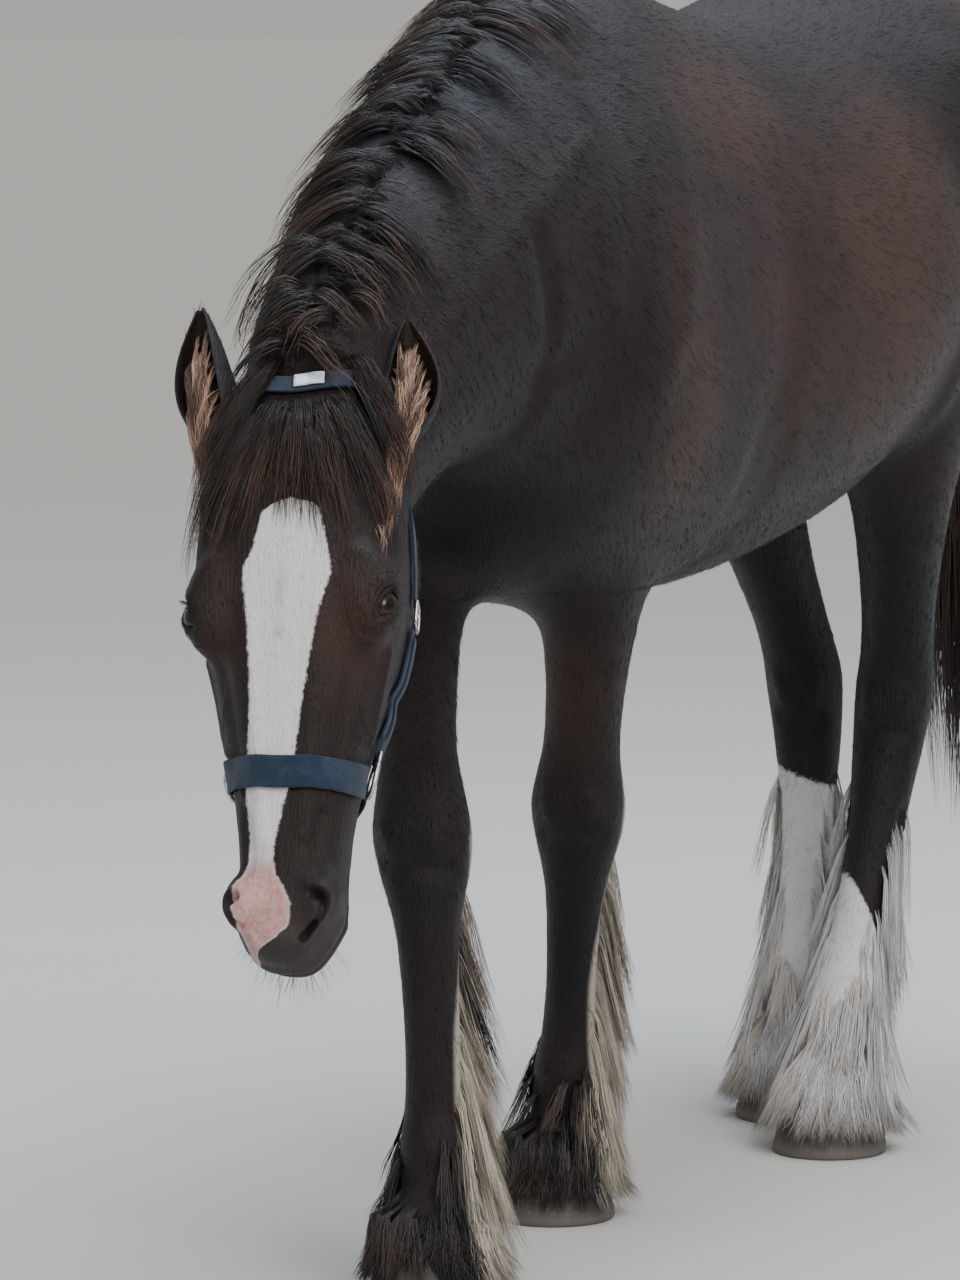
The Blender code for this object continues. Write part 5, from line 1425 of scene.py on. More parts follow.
def lay_strap(name, tree, aims, width, finish, nodes=(), lift=STRAP_LIFT, steps=7):
    """Webbing laid on the head along a run of aims, with thick rounded edges."""
    spine = [met(tree, aim) for aim in fair(aims, steps)]
    points = [point for point, _ in spine]
    run = np.concatenate(((0,), np.cumsum([(b - a).length for a, b in zip(points, points[1:])])))
    shares = [n / 8 - 0.5 for n in range(9)]
    bm = bmesh.new()
    weave, rows = [], []
    for k, (point, normal) in enumerate(spine):
        before, after = points[max(k - 1, 0)], points[min(k + 1, len(points) - 1)]
        across = (after - before).cross(normal).normalized()
        row = []
        for share in shares:
            spot = point + across * width * share
            foot = tree.ray_cast(spot + normal * 0.03, -normal)[0] or spot
            row.append((foot - point).dot(normal))
            weave.append((run[k], width * share, 0.0))
        heights = polynomial.polyval(np.array(shares), polynomial.polyfit(shares, row, 2))
        rows.append([bm.verts.new(point + across * width * share + normal * (high + lift))
                     for share, high in zip(shares, heights)])
    for low, high in zip(rows, rows[1:]):
        for n in range(8):
            bm.faces.new((low[n], low[n + 1], high[n + 1], high[n]))
    bm.normal_update()
    if list(bm.faces)[0].normal.dot(spine[0][1]) < 0:
        bmesh.ops.reverse_faces(bm, faces=bm.faces)
    mesh = as_mesh(bm, name)
    write_vectors(mesh, "weave", np.array(weave))
    piece = temporary(mesh)
    modify(piece, "SMOOTH", iterations=2)
    modify(piece, "SOLIDIFY", thickness=WEBBING_THICK, offset=1.0)
    modify(piece, "BEVEL", width=0.0007, segments=2)
    show(name, baked(piece), finish, nodes)


def wire(bm, path, radius, sides=10, closed=True):
    """A round wire along a path."""
    count = len(path)
    outlines = []
    for k, point in enumerate(path):
        before = path[k - 1] if closed or k else path[0]
        after = path[(k + 1) % count] if closed or k < count - 1 else path[-1]
        turn = (after - before).normalized().to_track_quat("Z", "Y").to_matrix()
        outlines.append([point + turn @ Vector((radius * math.cos(2 * math.pi * n / sides),
                                                radius * math.sin(2 * math.pi * n / sides), 0.0))
                         for n in range(sides)])
    skin_over(bm, outlines, closed=not closed)


def rounded_loop(place, half_wide, half_high, power_of=0.45, count=40):
    """A loop between a circle and a rectangle, in the plane of a placing matrix."""
    path = []
    for k in range(count):
        turn = 2 * math.pi * k / count
        path.append(place @ Vector((half_wide * power(math.cos(turn), power_of),
                                    half_high * power(math.sin(turn), power_of), 0.0)))
    return path


def cheek_frame(tree, aim, lift):
    """A placing matrix on the cheek: x across the strap, y along it, z out of the skin."""
    point, normal = met(tree, aim)
    along = HEAD_TURN.col[2] - normal * HEAD_TURN.col[2].dot(normal)
    along.normalize()
    turn = Matrix((along.cross(normal), along, normal)).transposed().to_4x4()
    return Matrix.Translation(point + normal * lift) @ turn


def make_halter(finishes):
    """Webbing straps, rings, keepers and buckles, without a lead."""
    tree = skin_tree(False)
    blue, black, silver = finishes["webbing"], finishes["black_webbing"], finishes["fitting"]
    upper = STRAP_LIFT + WEBBING_THICK + 0.0004
    clear = RING_ANGLE + 10
    nose = [round_face(angle, NOSEBAND_DOWN + 0.02 * math.sin(math.radians(angle))
                       + 0.006 * math.cos(math.radians(angle))) for angle in range(clear, 181 - clear, 12)]
    lay_strap("noseband", tree, nose, NOSEBAND_WIDTH, blue, ("halter_noseband",))
    chin = [round_face(-angle, NOSEBAND_DOWN + 0.03 * math.sin(math.radians(angle)) ** 2)
            for angle in range(clear, 181 - clear, 12)]
    # The chin strap is drawn near black: painted shade under the jaw
    lay_strap("chin_strap", tree, chin, CHIN_WIDTH, black, ("halter_chin_strap",))
    for hand, side in ((1, "left"), (-1, "right")):
        def on_side(angle, down):
            return round_face(angle if hand > 0 else 180 - angle, down)
        cheek = [on_side(-4, 0.378), on_side(-12, 0.33), on_side(-17, 0.28), on_side(-18, 0.232)]
        lay_strap("cheek_strap_" + side, tree, cheek, CHEEK_WIDTH, blue,
                  ("halter_cheek_" + side,))
        bm = bmesh.new()
        place = cheek_frame(tree, on_side(0, NOSEBAND_DOWN), 0.0072)
        wire(bm, rounded_loop(place, RING_RADIUS, RING_RADIUS, 0.75), RING_WIRE)
        keeper = place @ Matrix.Translation((0, -0.02, 0))
        wire(bm, rounded_loop(keeper, 0.015, 0.007), KEEPER_WIRE)
        show("ring_" + side, mesh_of(bm, "ring"), silver, ("halter_ring_" + side,))
        bm = bmesh.new()
        place = cheek_frame(tree, on_side(-18, 0.218), 0.0068)
        wire(bm, rounded_loop(place, BUCKLE_HALF_WIDE, BUCKLE_HALF_HIGH, 0.3), BUCKLE_WIRE)
        bar = [place @ Vector((-BUCKLE_HALF_WIDE + 0.033 * n / 6, 0.0, 0.0)) for n in range(7)]
        tongue = [place @ Vector((0.0, 0.0005 + 0.0145 * n / 6, 0.0022)) for n in range(7)]
        wire(bm, bar, BAR_WIRE, closed=False)
        wire(bm, tongue, TONGUE_WIRE, closed=False)
        show("buckle_" + side, mesh_of(bm, "buckle"), silver, ("halter_buckle_" + side,))
        loop = [on_side(-8, 0.386), on_side(-6, 0.372), on_side(-9, 0.352)]
        lay_strap("cheek_fold_" + side, tree, loop, FOLD_WIDTH, blue,
                  lift=STRAP_LIFT + WEBBING_THICK)
    end = [round_face(-18, 0.24), round_face(-20, 0.3), round_face(-17, 0.35), round_face(-14, 0.385)]
    lay_strap("strap_end", tree, end, END_WIDTH, blue, lift=upper)
    half = [round_face(-17, 0.206), round_face(-18, 0.15), round_face(-20, 0.1)]
    half += [over_poll(angle) for angle in (0, 25, 45, 65)]
    other = [(aim[0], aim[1], aim[2], -aim[3], aim[4], aim[5]) for aim in reversed(half)]
    crown = half + [over_poll(90)] + other
    lay_strap("crownpiece", tree, crown, CHEEK_WIDTH, blue, ("halter_crownpiece",))
    plate = [over_poll(angle) for angle in (93, 84, 75, 66)]
    lay_strap("crown_plate", tree, plate, PLATE_WIDTH, silver, lift=upper)


class Value:
    """A number or vector on its way through a material. Sums on it add nodes."""

    def __init__(self, finish, socket):
        self.finish = finish
        self.socket = socket

    def math(self, operation, *others, swap=False):
        parts = [self, *others]
        if swap:
            parts.reverse()
        return self.finish.node("ShaderNodeMath", {"operation": operation}, dict(enumerate(parts)))

    def __add__(self, other):
        return self.math("ADD", other)

    def __sub__(self, other):
        return self.math("SUBTRACT", other)

    def __rsub__(self, other):
        return self.math("SUBTRACT", other, swap=True)

    def __mul__(self, other):
        return self.math("MULTIPLY", other)

    def __truediv__(self, other):
        return self.math("DIVIDE", other)

    __radd__ = __add__
    __rmul__ = __mul__


class Finish:
    """A material under construction, with its Principled shader."""

    def __init__(self, name, roughness, metallic=0.0, specular=0.5):
        self.material = bpy.data.materials.new("cob_" + name)
        self.material.use_nodes = True
        self.tree = self.material.node_tree
        self.shader = self.tree.nodes["Principled BSDF"]
        self.fix("Roughness", roughness)
        self.fix("Metallic", metallic)
        self.fix("Specular IOR Level", specular)

    def fix(self, name, value):
        """Set a socket of the shader that is the same all over."""
        self.shader.inputs[name].default_value = value

    def node(self, kind, settings, sockets, output=0):
        """A node with its settings, then its sockets' values or links."""
        node = self.tree.nodes.new(kind)
        for name, value in settings.items():
            setattr(node, name, value)
        for name, value in sockets.items():
            if isinstance(value, Value):
                self.tree.links.new(value.socket, node.inputs[name])
            else:
                node.inputs[name].default_value = value
        return Value(self, node.outputs[output])

    def stored(self, name):
        """A vector stored at the points of the mesh."""
        return self.node("ShaderNodeAttribute", {"attribute_name": name}, {}, "Vector")

    def parts(self, vector):
        """The three numbers of a vector."""
        first = self.node("ShaderNodeSeparateXYZ", {}, {0: vector})
        return first, Value(self, first.socket.node.outputs[1]), Value(self, first.socket.node.outputs[2])

    def noise(self, vector, scale, detail=2.0):
        return self.node("ShaderNodeTexNoise", {}, {"Vector": vector, "Scale": scale, "Detail": detail})

    def rise(self, value, start, end):
        """A smooth step of a number from 0 at start to 1 at end."""
        return self.node("ShaderNodeMapRange", {"interpolation_type": "SMOOTHSTEP"},
                         {"Value": value, "From Min": start, "From Max": end})

    def blend(self, share, a, b):
        """A mix of two colours."""
        a = (*a, 1.0) if isinstance(a, tuple) else a
        b = (*b, 1.0) if isinstance(b, tuple) else b
        return self.node("ShaderNodeMix", {"data_type": "RGBA"}, {0: share, 6: a, 7: b}, 2)

    def shade(self, colour, amount):
        """A colour made lighter or darker by a number."""
        return self.node("ShaderNodeVectorMath", {"operation": "SCALE"}, {0: colour, "Scale": amount})

    def bump(self, height, distance, strength):
        sockets = {"Height": height, "Distance": distance, "Strength": strength}
        self.link(self.node("ShaderNodeBump", {}, sockets), "Normal")

    def link(self, value, name):
        self.tree.links.new(value.socket, self.shader.inputs[name])


def coat_colour(finish, colours, root, tuft):
    """The colour of skin and short coat from its markings, tones and the draw of each tuft."""
    white, pink, cream = finish.parts(finish.stored("marks"))
    brown, black, muzzle = finish.parts(finish.stored("tones"))
    draw, _, _ = finish.parts(tuft)
    cloud = finish.noise(root, 7.0, 3.0)
    ragged = finish.noise(root, 170.0, 2.0)
    # Warm brown: the coat's own reddish brown, and painted sunlight on the top of the barrel, loin and croup
    shade = finish.blend(finish.rise(brown * (0.55 + cloud), 0.15, 1.05), colours.coat, colours.warm_and_painted_sunlight)
    shade = finish.blend(finish.rise(black * (0.5 + cloud), 0.2, 1.0), shade, colours.black)
    shade = finish.blend(muzzle * 0.8, shade, colours.muzzle)
    shade = finish.shade(shade, 0.62 + draw * 0.76)
    edge = (ragged - 0.5) * 0.005 + (finish.noise(root, 520.0) - 0.5) * 0.003 + (draw - 0.5) * 0.003
    whorl = finish.rise(finish.noise(root, 60.0), 0.52, 0.72) * 0.3 + black * 0.75
    pale = finish.blend(whorl, colours.white, colours.grey)
    rosy = finish.blend(finish.rise(ragged + finish.noise(root, 420.0) * 0.4, 0.55, 0.85) * 0.22,
                        colours.pink, colours.white)
    pale = finish.shade(pale, 0.86 + draw * 0.28)
    shade = finish.blend(finish.rise(white + edge, -0.0018, 0.0018), shade, pale)
    shade = finish.blend(finish.rise(pink + edge * 0.5, -0.001, 0.006), shade, rosy)
    strands = finish.rise(cream + (draw - 0.5) * 0.02, -0.004, 0.01)
    return finish.blend(strands * 0.75, shade, finish.shade(colours.cream, 0.6 + draw * 0.6))


def coat_finish(colours, name="coat", streaks=True):
    """Short glossy hair: streaky bump on the skin, a faint cool sheen on all of it."""
    finish = Finish(name, 0.46, specular=0.22)
    root, tuft = finish.stored("root"), finish.stored("tuft")
    finish.link(coat_colour(finish, colours, root, tuft), "Base Color")
    finish.fix("Sheen Weight", 0.05)
    finish.fix("Sheen Roughness", 0.38)
    finish.fix("Sheen Tint", (0.62, 0.72, 1.0, 1.0))
    if streaks:
        combed_root = finish.stored("combed")
        streak = finish.noise(combed_root, 1000.0, 2.0) + finish.noise(combed_root, 330.0, 2.0) * 1.4
        finish.bump(streak, 0.0011, 0.9)
        finish.link(0.4 + finish.noise(root, 40.0) * 0.16, "Roughness")
    return finish.material


def hair_finish(colours):
    """Mane, forelock and tail: black-brown, with some locks faded brown."""
    finish = Finish("hair", 0.38, specular=0.5)
    draw, run, _ = finish.parts(finish.stored("tuft"))
    cloud = finish.noise(finish.stored("root"), 16.0, 2.0)
    brown = finish.rise(draw + (cloud - 0.5) * 0.9 + run * 0.25, 0.5, 1.1)
    shade = finish.blend(brown * (0.35 + run * 0.65), colours.hair, colours.faded)
    finish.link(finish.shade(shade, 0.6 + draw * 0.8), "Base Color")
    finish.link(0.32 + cloud * 0.16, "Roughness")
    return finish.material


def feather_finish(colours):
    """Feather: cream behind and near black in front on the forelegs, white behind, darker brown toward the
    tips and low down on the pale hair.
    """
    finish = Finish("feather", 0.42, specular=0.45)
    draw, run, _ = finish.parts(finish.stored("tuft"))
    root = finish.stored("root")
    white, _, cream = finish.parts(finish.stored("marks"))
    _, _, high = finish.parts(root)
    cloud = finish.noise(root, 26.0, 2.0)
    light = finish.rise(cream + (draw - 0.5) * 0.024, -0.006, 0.006)
    pale = finish.blend(finish.rise(draw + cloud * 0.5, 0.75, 1.25), colours.cream, colours.straw)
    smoke = finish.blend(finish.rise(draw + cloud * 0.5, 0.4, 1.05), colours.black, colours.smoke)
    shade = finish.blend(light, smoke, pale)
    brownish = finish.rise(draw + run * 0.35, 0.8, 1.15) * (1 - light) * 0.7
    shade = finish.blend(brownish, shade, colours.faded)
    clean = finish.blend(finish.rise(draw + cloud * 0.4, 0.7, 1.2), colours.white, colours.cream)
    shade = finish.blend(finish.rise(white + (draw - 0.5) * 0.02, -0.004, 0.004), shade, clean)
    # Pale strands turn darker brown toward their tips and near the floor
    low_brown_share = finish.rise(run * 0.7 + cloud * 0.5 - high * 3.2, 0.15, 0.75) * 0.6
    pale_share = finish.rise(white, -0.002, 0.002) + light
    shade = finish.blend(low_brown_share * pale_share, shade, colours.low_brown)
    finish.link(finish.shade(shade, 0.72 + draw * 0.5), "Base Color")
    return finish.material


def ear_hair_finish(colours):
    finish = Finish("ear_hair", 0.45, specular=0.4)
    draw, run, _ = finish.parts(finish.stored("tuft"))
    shade = finish.blend(finish.rise(draw - run * 0.2, 0.15, 0.7), colours.ear_dark, colours.ear_pale)
    finish.link(finish.shade(shade, 0.7 + draw * 0.6), "Base Color")
    return finish.material


# Colours of the eye round its iris
PUPIL, IRIS_RIM, EYE_WHITE = (0.002, 0.002, 0.003), (0.012, 0.011, 0.012), (0.16, 0.11, 0.09)


def eye_finish(colours):
    """A wet brown eye with a wide dark pupil and a dark rim."""
    finish = Finish("eye", 0.08, specular=0.3)
    gaze = finish.stored("gaze")
    across, up, _ = finish.parts(gaze)
    wide = ((across * across) / 0.3 + (up * up) / 0.085).math("SQRT")
    ring = (across * across + up * up).math("SQRT")
    fibre = finish.noise(gaze, 34.0, 3.0)
    iris = finish.blend(fibre, colours.iris, colours.iris_dark)
    shade = finish.blend(finish.rise(wide, 0.78, 1.0), PUPIL, iris)
    shade = finish.blend(finish.rise(ring, 0.7, 0.8), shade, IRIS_RIM)
    shade = finish.blend(finish.rise(ring, 0.86, 0.95), shade, EYE_WHITE)
    finish.link(shade, "Base Color")
    finish.fix("Coat Weight", 0.25)
    finish.fix("Coat Roughness", 0.02)
    return finish.material


def horn_finish(colours):
    """Dusty grey horn: growth rings, upright fibres and chalky wear at the rim."""
    finish = Finish("horn", 0.55, specular=0.35)
    root = finish.stored("root")
    _, _, high = finish.parts(root)
    stretch = {"operation": "MULTIPLY"}
    fibre, ring = (finish.noise(finish.node("ShaderNodeVectorMath", stretch, {0: root, 1: scale}), 1.0)
                   for scale in ((420.0, 420.0, 26.0), (9.0, 9.0, 260.0)))
    cloud = finish.noise(root, 34.0, 3.0)
    shade = finish.blend(cloud, colours.horn, colours.horn_dark)
    shade = finish.blend(finish.rise(fibre, 0.45, 0.7) * 0.35, shade, colours.dust)
    shade = finish.blend((1 - finish.rise(high, 0.0, 0.022)) * (0.35 + cloud * 0.4), shade, colours.dust)
    finish.link(shade, "Base Color")
    finish.link(0.5 + cloud * 0.2, "Roughness")
    finish.bump(ring * 0.8 + fibre * 0.5, 0.0012, 0.8)
    return finish.material


def webbing_finish(name, colour, faded):
    """Woven webbing: slanting threads, ribs, faded wear and dust."""
    finish = Finish(name, 0.72, specular=0.25)
    along, across, _ = finish.parts(finish.stored("weave"))
    root = finish.node("ShaderNodeTexCoord", {}, {}, "Object")
    slant = along * 1900.0 + (across * 1300.0).math("PINGPONG", 2.2) * 2.4
    thread = slant.math("SINE")
    rib = (across * 3300.0).math("SINE")
    wear = finish.noise(root, 55.0, 3.0)
    dust = finish.noise(root, 420.0, 2.0)
    shade = finish.blend(finish.rise(wear, 0.42, 0.72) * 0.7, colour, faded)
    shade = finish.shade(shade, 0.8 + thread * 0.14 + dust * 0.3)
    finish.link(shade, "Base Color")
    finish.bump(thread * 0.5 + rib * 0.25 + dust * 0.4, 0.0006, 0.8)
    finish.fix("Sheen Weight", 0.15)
    return finish.material


def fitting_finish(colours):
    """Worn nickel plating with fine scratches and dull patches."""
    finish = Finish("fitting", 0.28, 1.0)
    root = finish.node("ShaderNodeTexCoord", {}, {}, "Object")
    dull, fine = finish.noise(root, 90.0, 3.0), finish.noise(root, 900.0, 2.0)
    shade = finish.blend(finish.rise(dull, 0.5, 0.75) * 0.6, colours.metal, (0.3, 0.27, 0.24))
    finish.link(shade, "Base Color")
    finish.link(0.2 + dull * 0.25, "Roughness")
    finish.bump(fine, 0.0002, 0.5)
    return finish.material


def floor_finish(colours):
    finish = Finish("floor", 0.85, specular=0.2)
    root = finish.node("ShaderNodeTexCoord", {}, {}, "Object")
    grain = finish.noise(root, 3.0, 4.0)
    darker = tuple(part * 0.92 for part in colours.floor)
    finish.link(finish.blend(grain * 0.3, colours.floor, darker), "Base Color")
    return finish.material


def colour_property(name, value, description):
    return bpy.props.FloatVectorProperty(name=name, description=description, default=value, subtype="COLOR",
                                         size=3, min=0.0, max=1.0)


def length_property(name, value, description):
    return bpy.props.FloatProperty(name=name, description=description, default=value, unit="LENGTH")


def share_property(name, value, description):
    return bpy.props.FloatProperty(name=name, description=description, default=value, subtype="FACTOR")


def count_property(name, value, description):
    return bpy.props.IntProperty(name=name, description=description, default=value)


class CobSizes(bpy.types.PropertyGroup):
    """Sizes and counts of the skin, coat and hair."""

    coat_depth: length_property("Coat depth", 0.002, "How far the skin lies inside the solids")
    tuft_width: length_property("Tuft width", 0.0015, "Width of a short tuft at its root")
    coat_density: share_property("Coat density", 1.0, "Share of the full number of short tufts")
    mane_guides: count_property("Mane locks", 230, "Locks along the crest of the neck")
    mane_length: share_property("Mane length", 1.0, "Length of the mane as a share of its usual length")
    forelock_guides: count_property("Forelock locks", 250, "Locks that fall over the forehead")
    forelock_length: share_property("Forelock length", 1.0, "Its length as a share of its usual length")
    ear_hair_guides: count_property("Ear hair locks", 105, "Locks that stream out of each ear")
    tail_guides: count_property("Tail locks", 180, "Locks of the tail")
    feather_guides: count_property("Feather locks", 310, "Locks of feather on each leg")


class CobColours(bpy.types.PropertyGroup):
    """Colours of the coat, hair, horn, halter and floor."""

    coat: colour_property("Coat", (0.0155, 0.0098, 0.0092), "Dark brown of most of the body")
    # Warm coat: reddish brown, also the colour of the painted sunlight on the back and loin
    warm_and_painted_sunlight: colour_property("Warm coat", (0.07, 0.034, 0.024), "Reddish brown of ribs and loin")
    black: colour_property("Black coat", (0.0065, 0.0058, 0.0066), "Near black of legs and muzzle")
    muzzle: colour_property("Muzzle", (0.045, 0.034, 0.034), "Grey-brown bare skin round the lips")
    white: colour_property("White", (0.72, 0.71, 0.72), "White of the blaze and the hind socks")
    grey: colour_property("Grey", (0.5, 0.49, 0.5), "Grey whorls within the white")
    pink: colour_property("Pink", (0.52, 0.27, 0.25), "Bare pink skin of the snip")
    cream: colour_property("Cream", (0.66, 0.59, 0.51), "Cream of the fore feather")
    straw: colour_property("Straw", (0.42, 0.33, 0.25), "Darker strands in the cream")
    smoke: colour_property("Smoke", (0.052, 0.045, 0.046), "Grey-brown strands in the dark feather")
    # Darker brown of the pale feather toward the tips and near the floor
    low_brown: colour_property("Soil", (0.16, 0.125, 0.1), "Dirt on the feather near the floor")
    hair: colour_property("Long hair", (0.009, 0.007, 0.007), "Black-brown of mane and tail")
    faded: colour_property("Faded hair", (0.075, 0.036, 0.024), "Sun-faded brown locks")
    ear_pale: colour_property("Ear hair", (0.58, 0.37, 0.26), "Tan hair that streams out of the ears")
    ear_dark: colour_property("Dark ear hair", (0.1, 0.05, 0.035), "Brown strands among it")
    iris: colour_property("Iris", (0.05, 0.022, 0.01), "Brown of the eye")
    iris_dark: colour_property("Dark iris", (0.012, 0.006, 0.004), "Dark fibres of the eye")
    horn: colour_property("Horn", (0.085, 0.08, 0.08), "Grey of the hooves")
    horn_dark: colour_property("Dark horn", (0.04, 0.037, 0.037), "Dark streaks of the hooves")
    dust: colour_property("Dust", (0.17, 0.155, 0.14), "Dry dust on the hooves")
    webbing: colour_property("Webbing", (0.011, 0.026, 0.054), "Blue of the halter")
    webbing_faded: colour_property("Faded webbing", (0.024, 0.05, 0.092), "Where the halter is worn")
    # The near black of the chin strap is painted shade under the jaw
    strap: colour_property("Chin strap", (0.012, 0.012, 0.014), "Black of the chin strap")
    metal: colour_property("Fittings", (0.66, 0.66, 0.67), "Nickel of rings and buckles")
    floor: colour_property("Floor", (0.62, 0.61, 0.59), "Plain pale floor")


# What makes each finish, given the colours as plain values
FINISHES = {
    "coat": coat_finish,
    "tufts": lambda colours: coat_finish(colours, "tufts", streaks=False),
    "hair": hair_finish,
    "feather": feather_finish,
    "ear_hair": ear_hair_finish,
    "eye": eye_finish,
    "horn": horn_finish,
    "webbing": lambda colours: webbing_finish("webbing", colours.webbing, colours.webbing_faded),
    # Near black webbing of the chin strap, painted shade under the jaw, with greyer worn places
    "black_webbing": lambda colours: webbing_finish("black_webbing", colours.strap, (0.03, 0.03, 0.032)),
    "fitting": fitting_finish,
    "floor": floor_finish,
}


def finish_named(context, name):
    """A finish of the cob, made when it is first asked for."""
    group = context.scene.cob_colours
    colours = SimpleNamespace(**{key: tuple(getattr(group, key)) for key in CobColours.__annotations__})
    return bpy.data.materials.get("cob_" + name) or FINISHES[name](colours)


class COB_OT_skin(bpy.types.Operator):
    """Build the one skin of body, legs, head, lids and ears"""

    bl_idname = "cob.skin"
    bl_label = "Skin"
    bl_options = {"REGISTER", "UNDO"}

    def execute(self, context):
        show("skin", make_skin(context.scene.cob_sizes), finish_named(context, "coat"), FLESH_NODES)
        return {"FINISHED"}


class COB_OT_eyes(bpy.types.Operator):
    """Set the two eyes into their lids"""

    bl_idname = "cob.eyes"
    bl_label = "Eyes"
    bl_options = {"REGISTER", "UNDO"}

    def execute(self, context):
        for hand, name in ((1, "eye_left"), (-1, "eye_right")):
            make_eye(hand, name, finish_named(context, "eye"))
        return {"FINISHED"}


class COB_OT_hooves(bpy.types.Operator):
    """Build the four hooves"""

    bl_idname = "cob.hooves"
    bl_label = "Hooves"
    bl_options = {"REGISTER", "UNDO"}

    def execute(self, context):
        for name in LEG_NAMES:
            make_hoof(name, finish_named(context, "horn"))
        return {"FINISHED"}


class COB_OT_halter(bpy.types.Operator):
    """Lay the webbing halter on the head"""

    bl_idname = "cob.halter"
    bl_label = "Halter"
    bl_options = {"REGISTER", "UNDO"}

    def execute(self, context):
        make_halter({name: finish_named(context, name) for name in ("webbing", "black_webbing", "fitting")})
        return {"FINISHED"}


class COB_OT_short_coat(bpy.types.Operator):
    """Grow short tufts over the skin"""

    bl_idname = "cob.short_coat"
    bl_label = "Short Coat"
    bl_options = {"REGISTER", "UNDO"}

    def execute(self, context):
        grow_short_coat(context.scene.cob_sizes, finish_named(context, "tufts"))
        return {"FINISHED"}


class COB_OT_mane(bpy.types.Operator):
    """Grow the mane along the crest"""

    bl_idname = "cob.mane"
    bl_label = "Mane"
    bl_options = {"REGISTER", "UNDO"}

    def execute(self, context):
        grow_mane(context.scene.cob_sizes, finish_named(context, "hair"))
        return {"FINISHED"}


class COB_OT_forelock(bpy.types.Operator):
    """Grow the forelock between the ears"""

    bl_idname = "cob.forelock"
    bl_label = "Forelock"
    bl_options = {"REGISTER", "UNDO"}

    def execute(self, context):
        grow_forelock(context.scene.cob_sizes, finish_named(context, "hair"))
        return {"FINISHED"}


class COB_OT_ear_hair(bpy.types.Operator):
    """Grow the long pale hair in the ears"""

    bl_idname = "cob.ear_hair"
    bl_label = "Ear Hair"
    bl_options = {"REGISTER", "UNDO"}

    def execute(self, context):
        grow_ear_hair(context.scene.cob_sizes, finish_named(context, "ear_hair"))
        return {"FINISHED"}


class COB_OT_tail(bpy.types.Operator):
    """Grow the tail"""

    bl_idname = "cob.tail"
    bl_label = "Tail"
    bl_options = {"REGISTER", "UNDO"}

    def execute(self, context):
        grow_tail(context.scene.cob_sizes, finish_named(context, "hair"))
        return {"FINISHED"}


class COB_OT_feather(bpy.types.Operator):
    """Grow the feather on the four legs"""

    bl_idname = "cob.feather"
    bl_label = "Feather"
    bl_options = {"REGISTER", "UNDO"}

    def execute(self, context):
        grow_feather(context.scene.cob_sizes, finish_named(context, "feather"))
        return {"FINISHED"}


class COB_OT_whiskers(bpy.types.Operator):
    """Set whiskers on the muzzle and lashes on the lids"""

    bl_idname = "cob.whiskers"
    bl_label = "Whiskers and Lashes"
    bl_options = {"REGISTER", "UNDO"}

    def execute(self, context):
        grow_whiskers(finish_named(context, "hair"))
        return {"FINISHED"}


def add_light(name, kind, energy, colour, **settings):
    """A light object of a kind, with its further settings, not yet placed."""
    light = bpy.data.lights.new(name, kind)
    light.energy = energy
    light.color = colour
    for key, value in settings.items():
        setattr(light, key, value)
    lamp = bpy.data.objects.new(name, light)
    bpy.context.scene.collection.objects.link(lamp)
    return lamp


def soft_light(name, place, aim, size, energy, colour):
    """A wide rectangular light at a place, aimed at a point."""
    lamp = add_light(name, "AREA", energy, colour, shape="RECTANGLE", size=size[0], size_y=size[1])
    lamp.location = place
    lamp.rotation_euler = (Vector(aim) - Vector(place)).to_track_quat("-Z", "Y").to_euler()


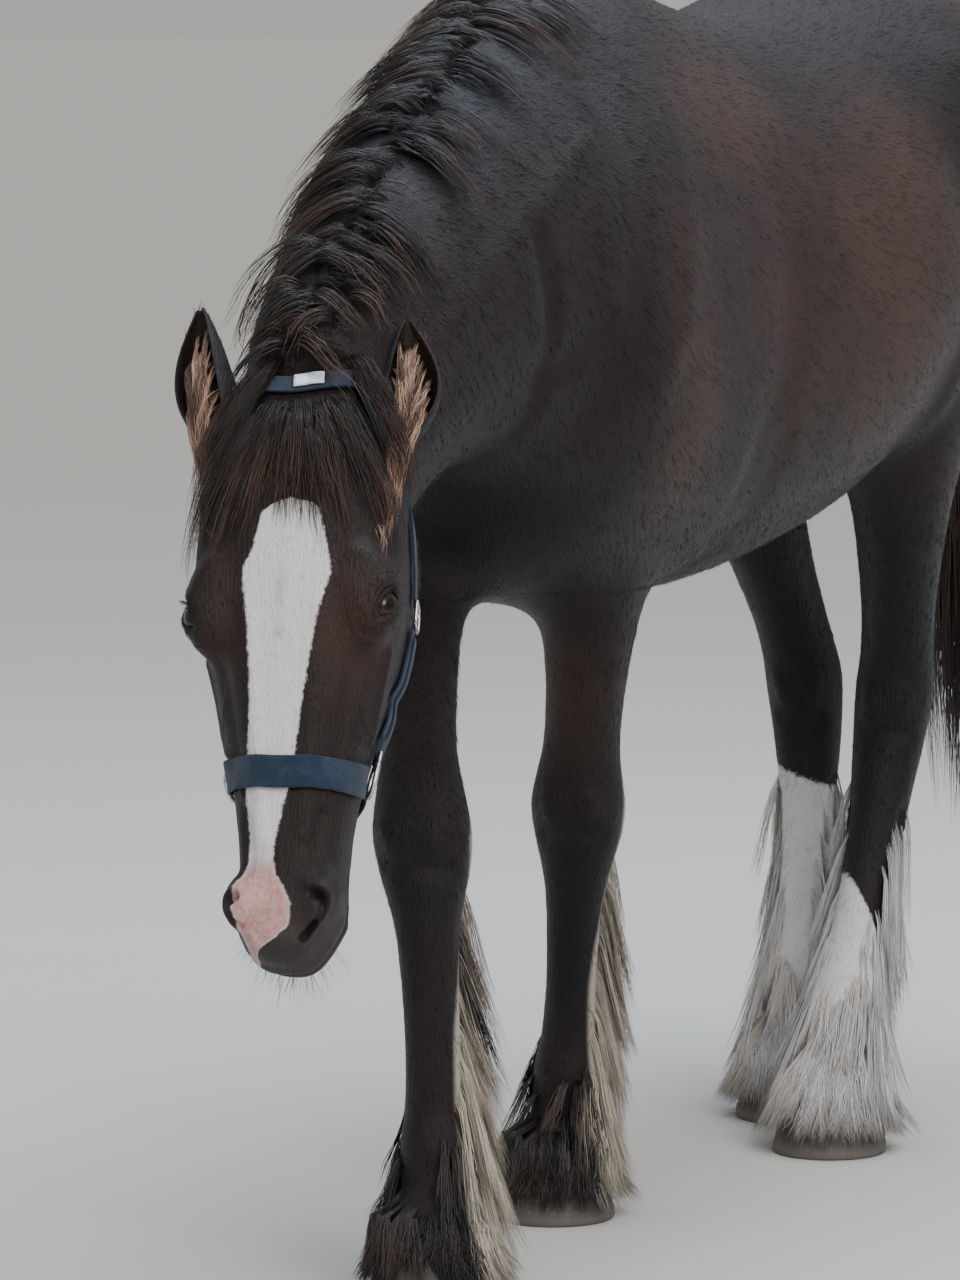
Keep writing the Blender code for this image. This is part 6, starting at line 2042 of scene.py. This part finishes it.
class COB_OT_stage(bpy.types.Operator):
    """Set the plain floor, the soft light and the camera"""

    bl_idname = "cob.stage"
    bl_label = "Stage"
    bl_options = {"REGISTER", "UNDO"}

    def execute(self, context):
        scene = context.scene
        bm = bmesh.new()
        bmesh.ops.create_grid(bm, x_segments=1, y_segments=1, size=FLOOR_REACH)
        floor = bpy.data.objects.new("floor", mesh_of(bm, "floor"))
        floor.data.materials.append(finish_named(context, "floor"))
        scene.collection.objects.link(floor)
        world = bpy.data.worlds.new("studio")
        scene.world = world
        world.use_nodes = True
        sky = world.node_tree.nodes["Background"]
        sky.inputs["Color"].default_value = SKY_COLOUR
        sky.inputs["Strength"].default_value = SKY_STRENGTH
        even = add_light("even", "SUN", 1.5, (1.0, 0.98, 0.96), angle=math.radians(70))
        even.rotation_euler = (math.radians(38), math.radians(24), 0.0)
        soft_light("key", (3.6, -4.6, 4.2), (0.1, -0.3, 0.9), (2.5, 2.5), 120, (1.0, 0.96, 0.92))
        soft_light("top", (0.2, 1.4, 5.2), (0.1, 0.2, 1.0), (4.0, 3.0), 260, (0.72, 0.84, 1.0))
        camera = bpy.data.objects.new("camera", bpy.data.cameras.new("camera"))
        camera.location = CAMERA_AT - CENTRE
        camera.rotation_euler = (math.radians(90 - CAMERA_TILT), 0.0, math.radians(CAMERA_TURN))
        camera.data.sensor_fit = "VERTICAL"
        camera.data.sensor_height = SENSOR
        camera.data.lens = FOCUS_PIXELS / PHOTO_HEIGHT * SENSOR
        camera.data.clip_end = 1000.0
        scene.collection.objects.link(camera)
        scene.camera = camera
        return {"FINISHED"}


STEPS = (COB_OT_skin, COB_OT_eyes, COB_OT_hooves, COB_OT_halter, COB_OT_short_coat, COB_OT_mane,
         COB_OT_forelock, COB_OT_ear_hair, COB_OT_tail, COB_OT_feather, COB_OT_whiskers, COB_OT_stage)


class COB_PT_panel(bpy.types.Panel):
    """The steps of the cob, with its sizes and colours"""

    bl_idname = "COB_PT_panel"
    bl_label = "Irish Cob"
    bl_space_type = "VIEW_3D"
    bl_region_type = "UI"
    bl_category = "Irish Cob"

    def draw(self, context):
        for step in STEPS:
            self.layout.operator(step.bl_idname)
        for kind, group in ((CobSizes, context.scene.cob_sizes), (CobColours, context.scene.cob_colours)):
            column = self.layout.column()
            for name in kind.__annotations__:
                column.prop(group, name)


CLASSES = (CobSizes, CobColours, *STEPS, COB_PT_panel)


def register():
    for one in CLASSES:
        bpy.utils.register_class(one)
    bpy.types.Scene.cob_sizes = bpy.props.PointerProperty(type=CobSizes)
    bpy.types.Scene.cob_colours = bpy.props.PointerProperty(type=CobColours)


def unregister():
    del bpy.types.Scene.cob_colours
    del bpy.types.Scene.cob_sizes
    for one in reversed(CLASSES):
        bpy.utils.unregister_class(one)


def main():
    """Register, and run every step."""
    register()
    bpy.ops.cob.skin()
    bpy.ops.cob.eyes()
    bpy.ops.cob.hooves()
    bpy.ops.cob.halter()
    bpy.ops.cob.short_coat()
    bpy.ops.cob.mane()
    bpy.ops.cob.forelock()
    bpy.ops.cob.ear_hair()
    bpy.ops.cob.tail()
    bpy.ops.cob.feather()
    bpy.ops.cob.whiskers()
    bpy.ops.cob.stage()


if __name__ == "__main__":
    main()
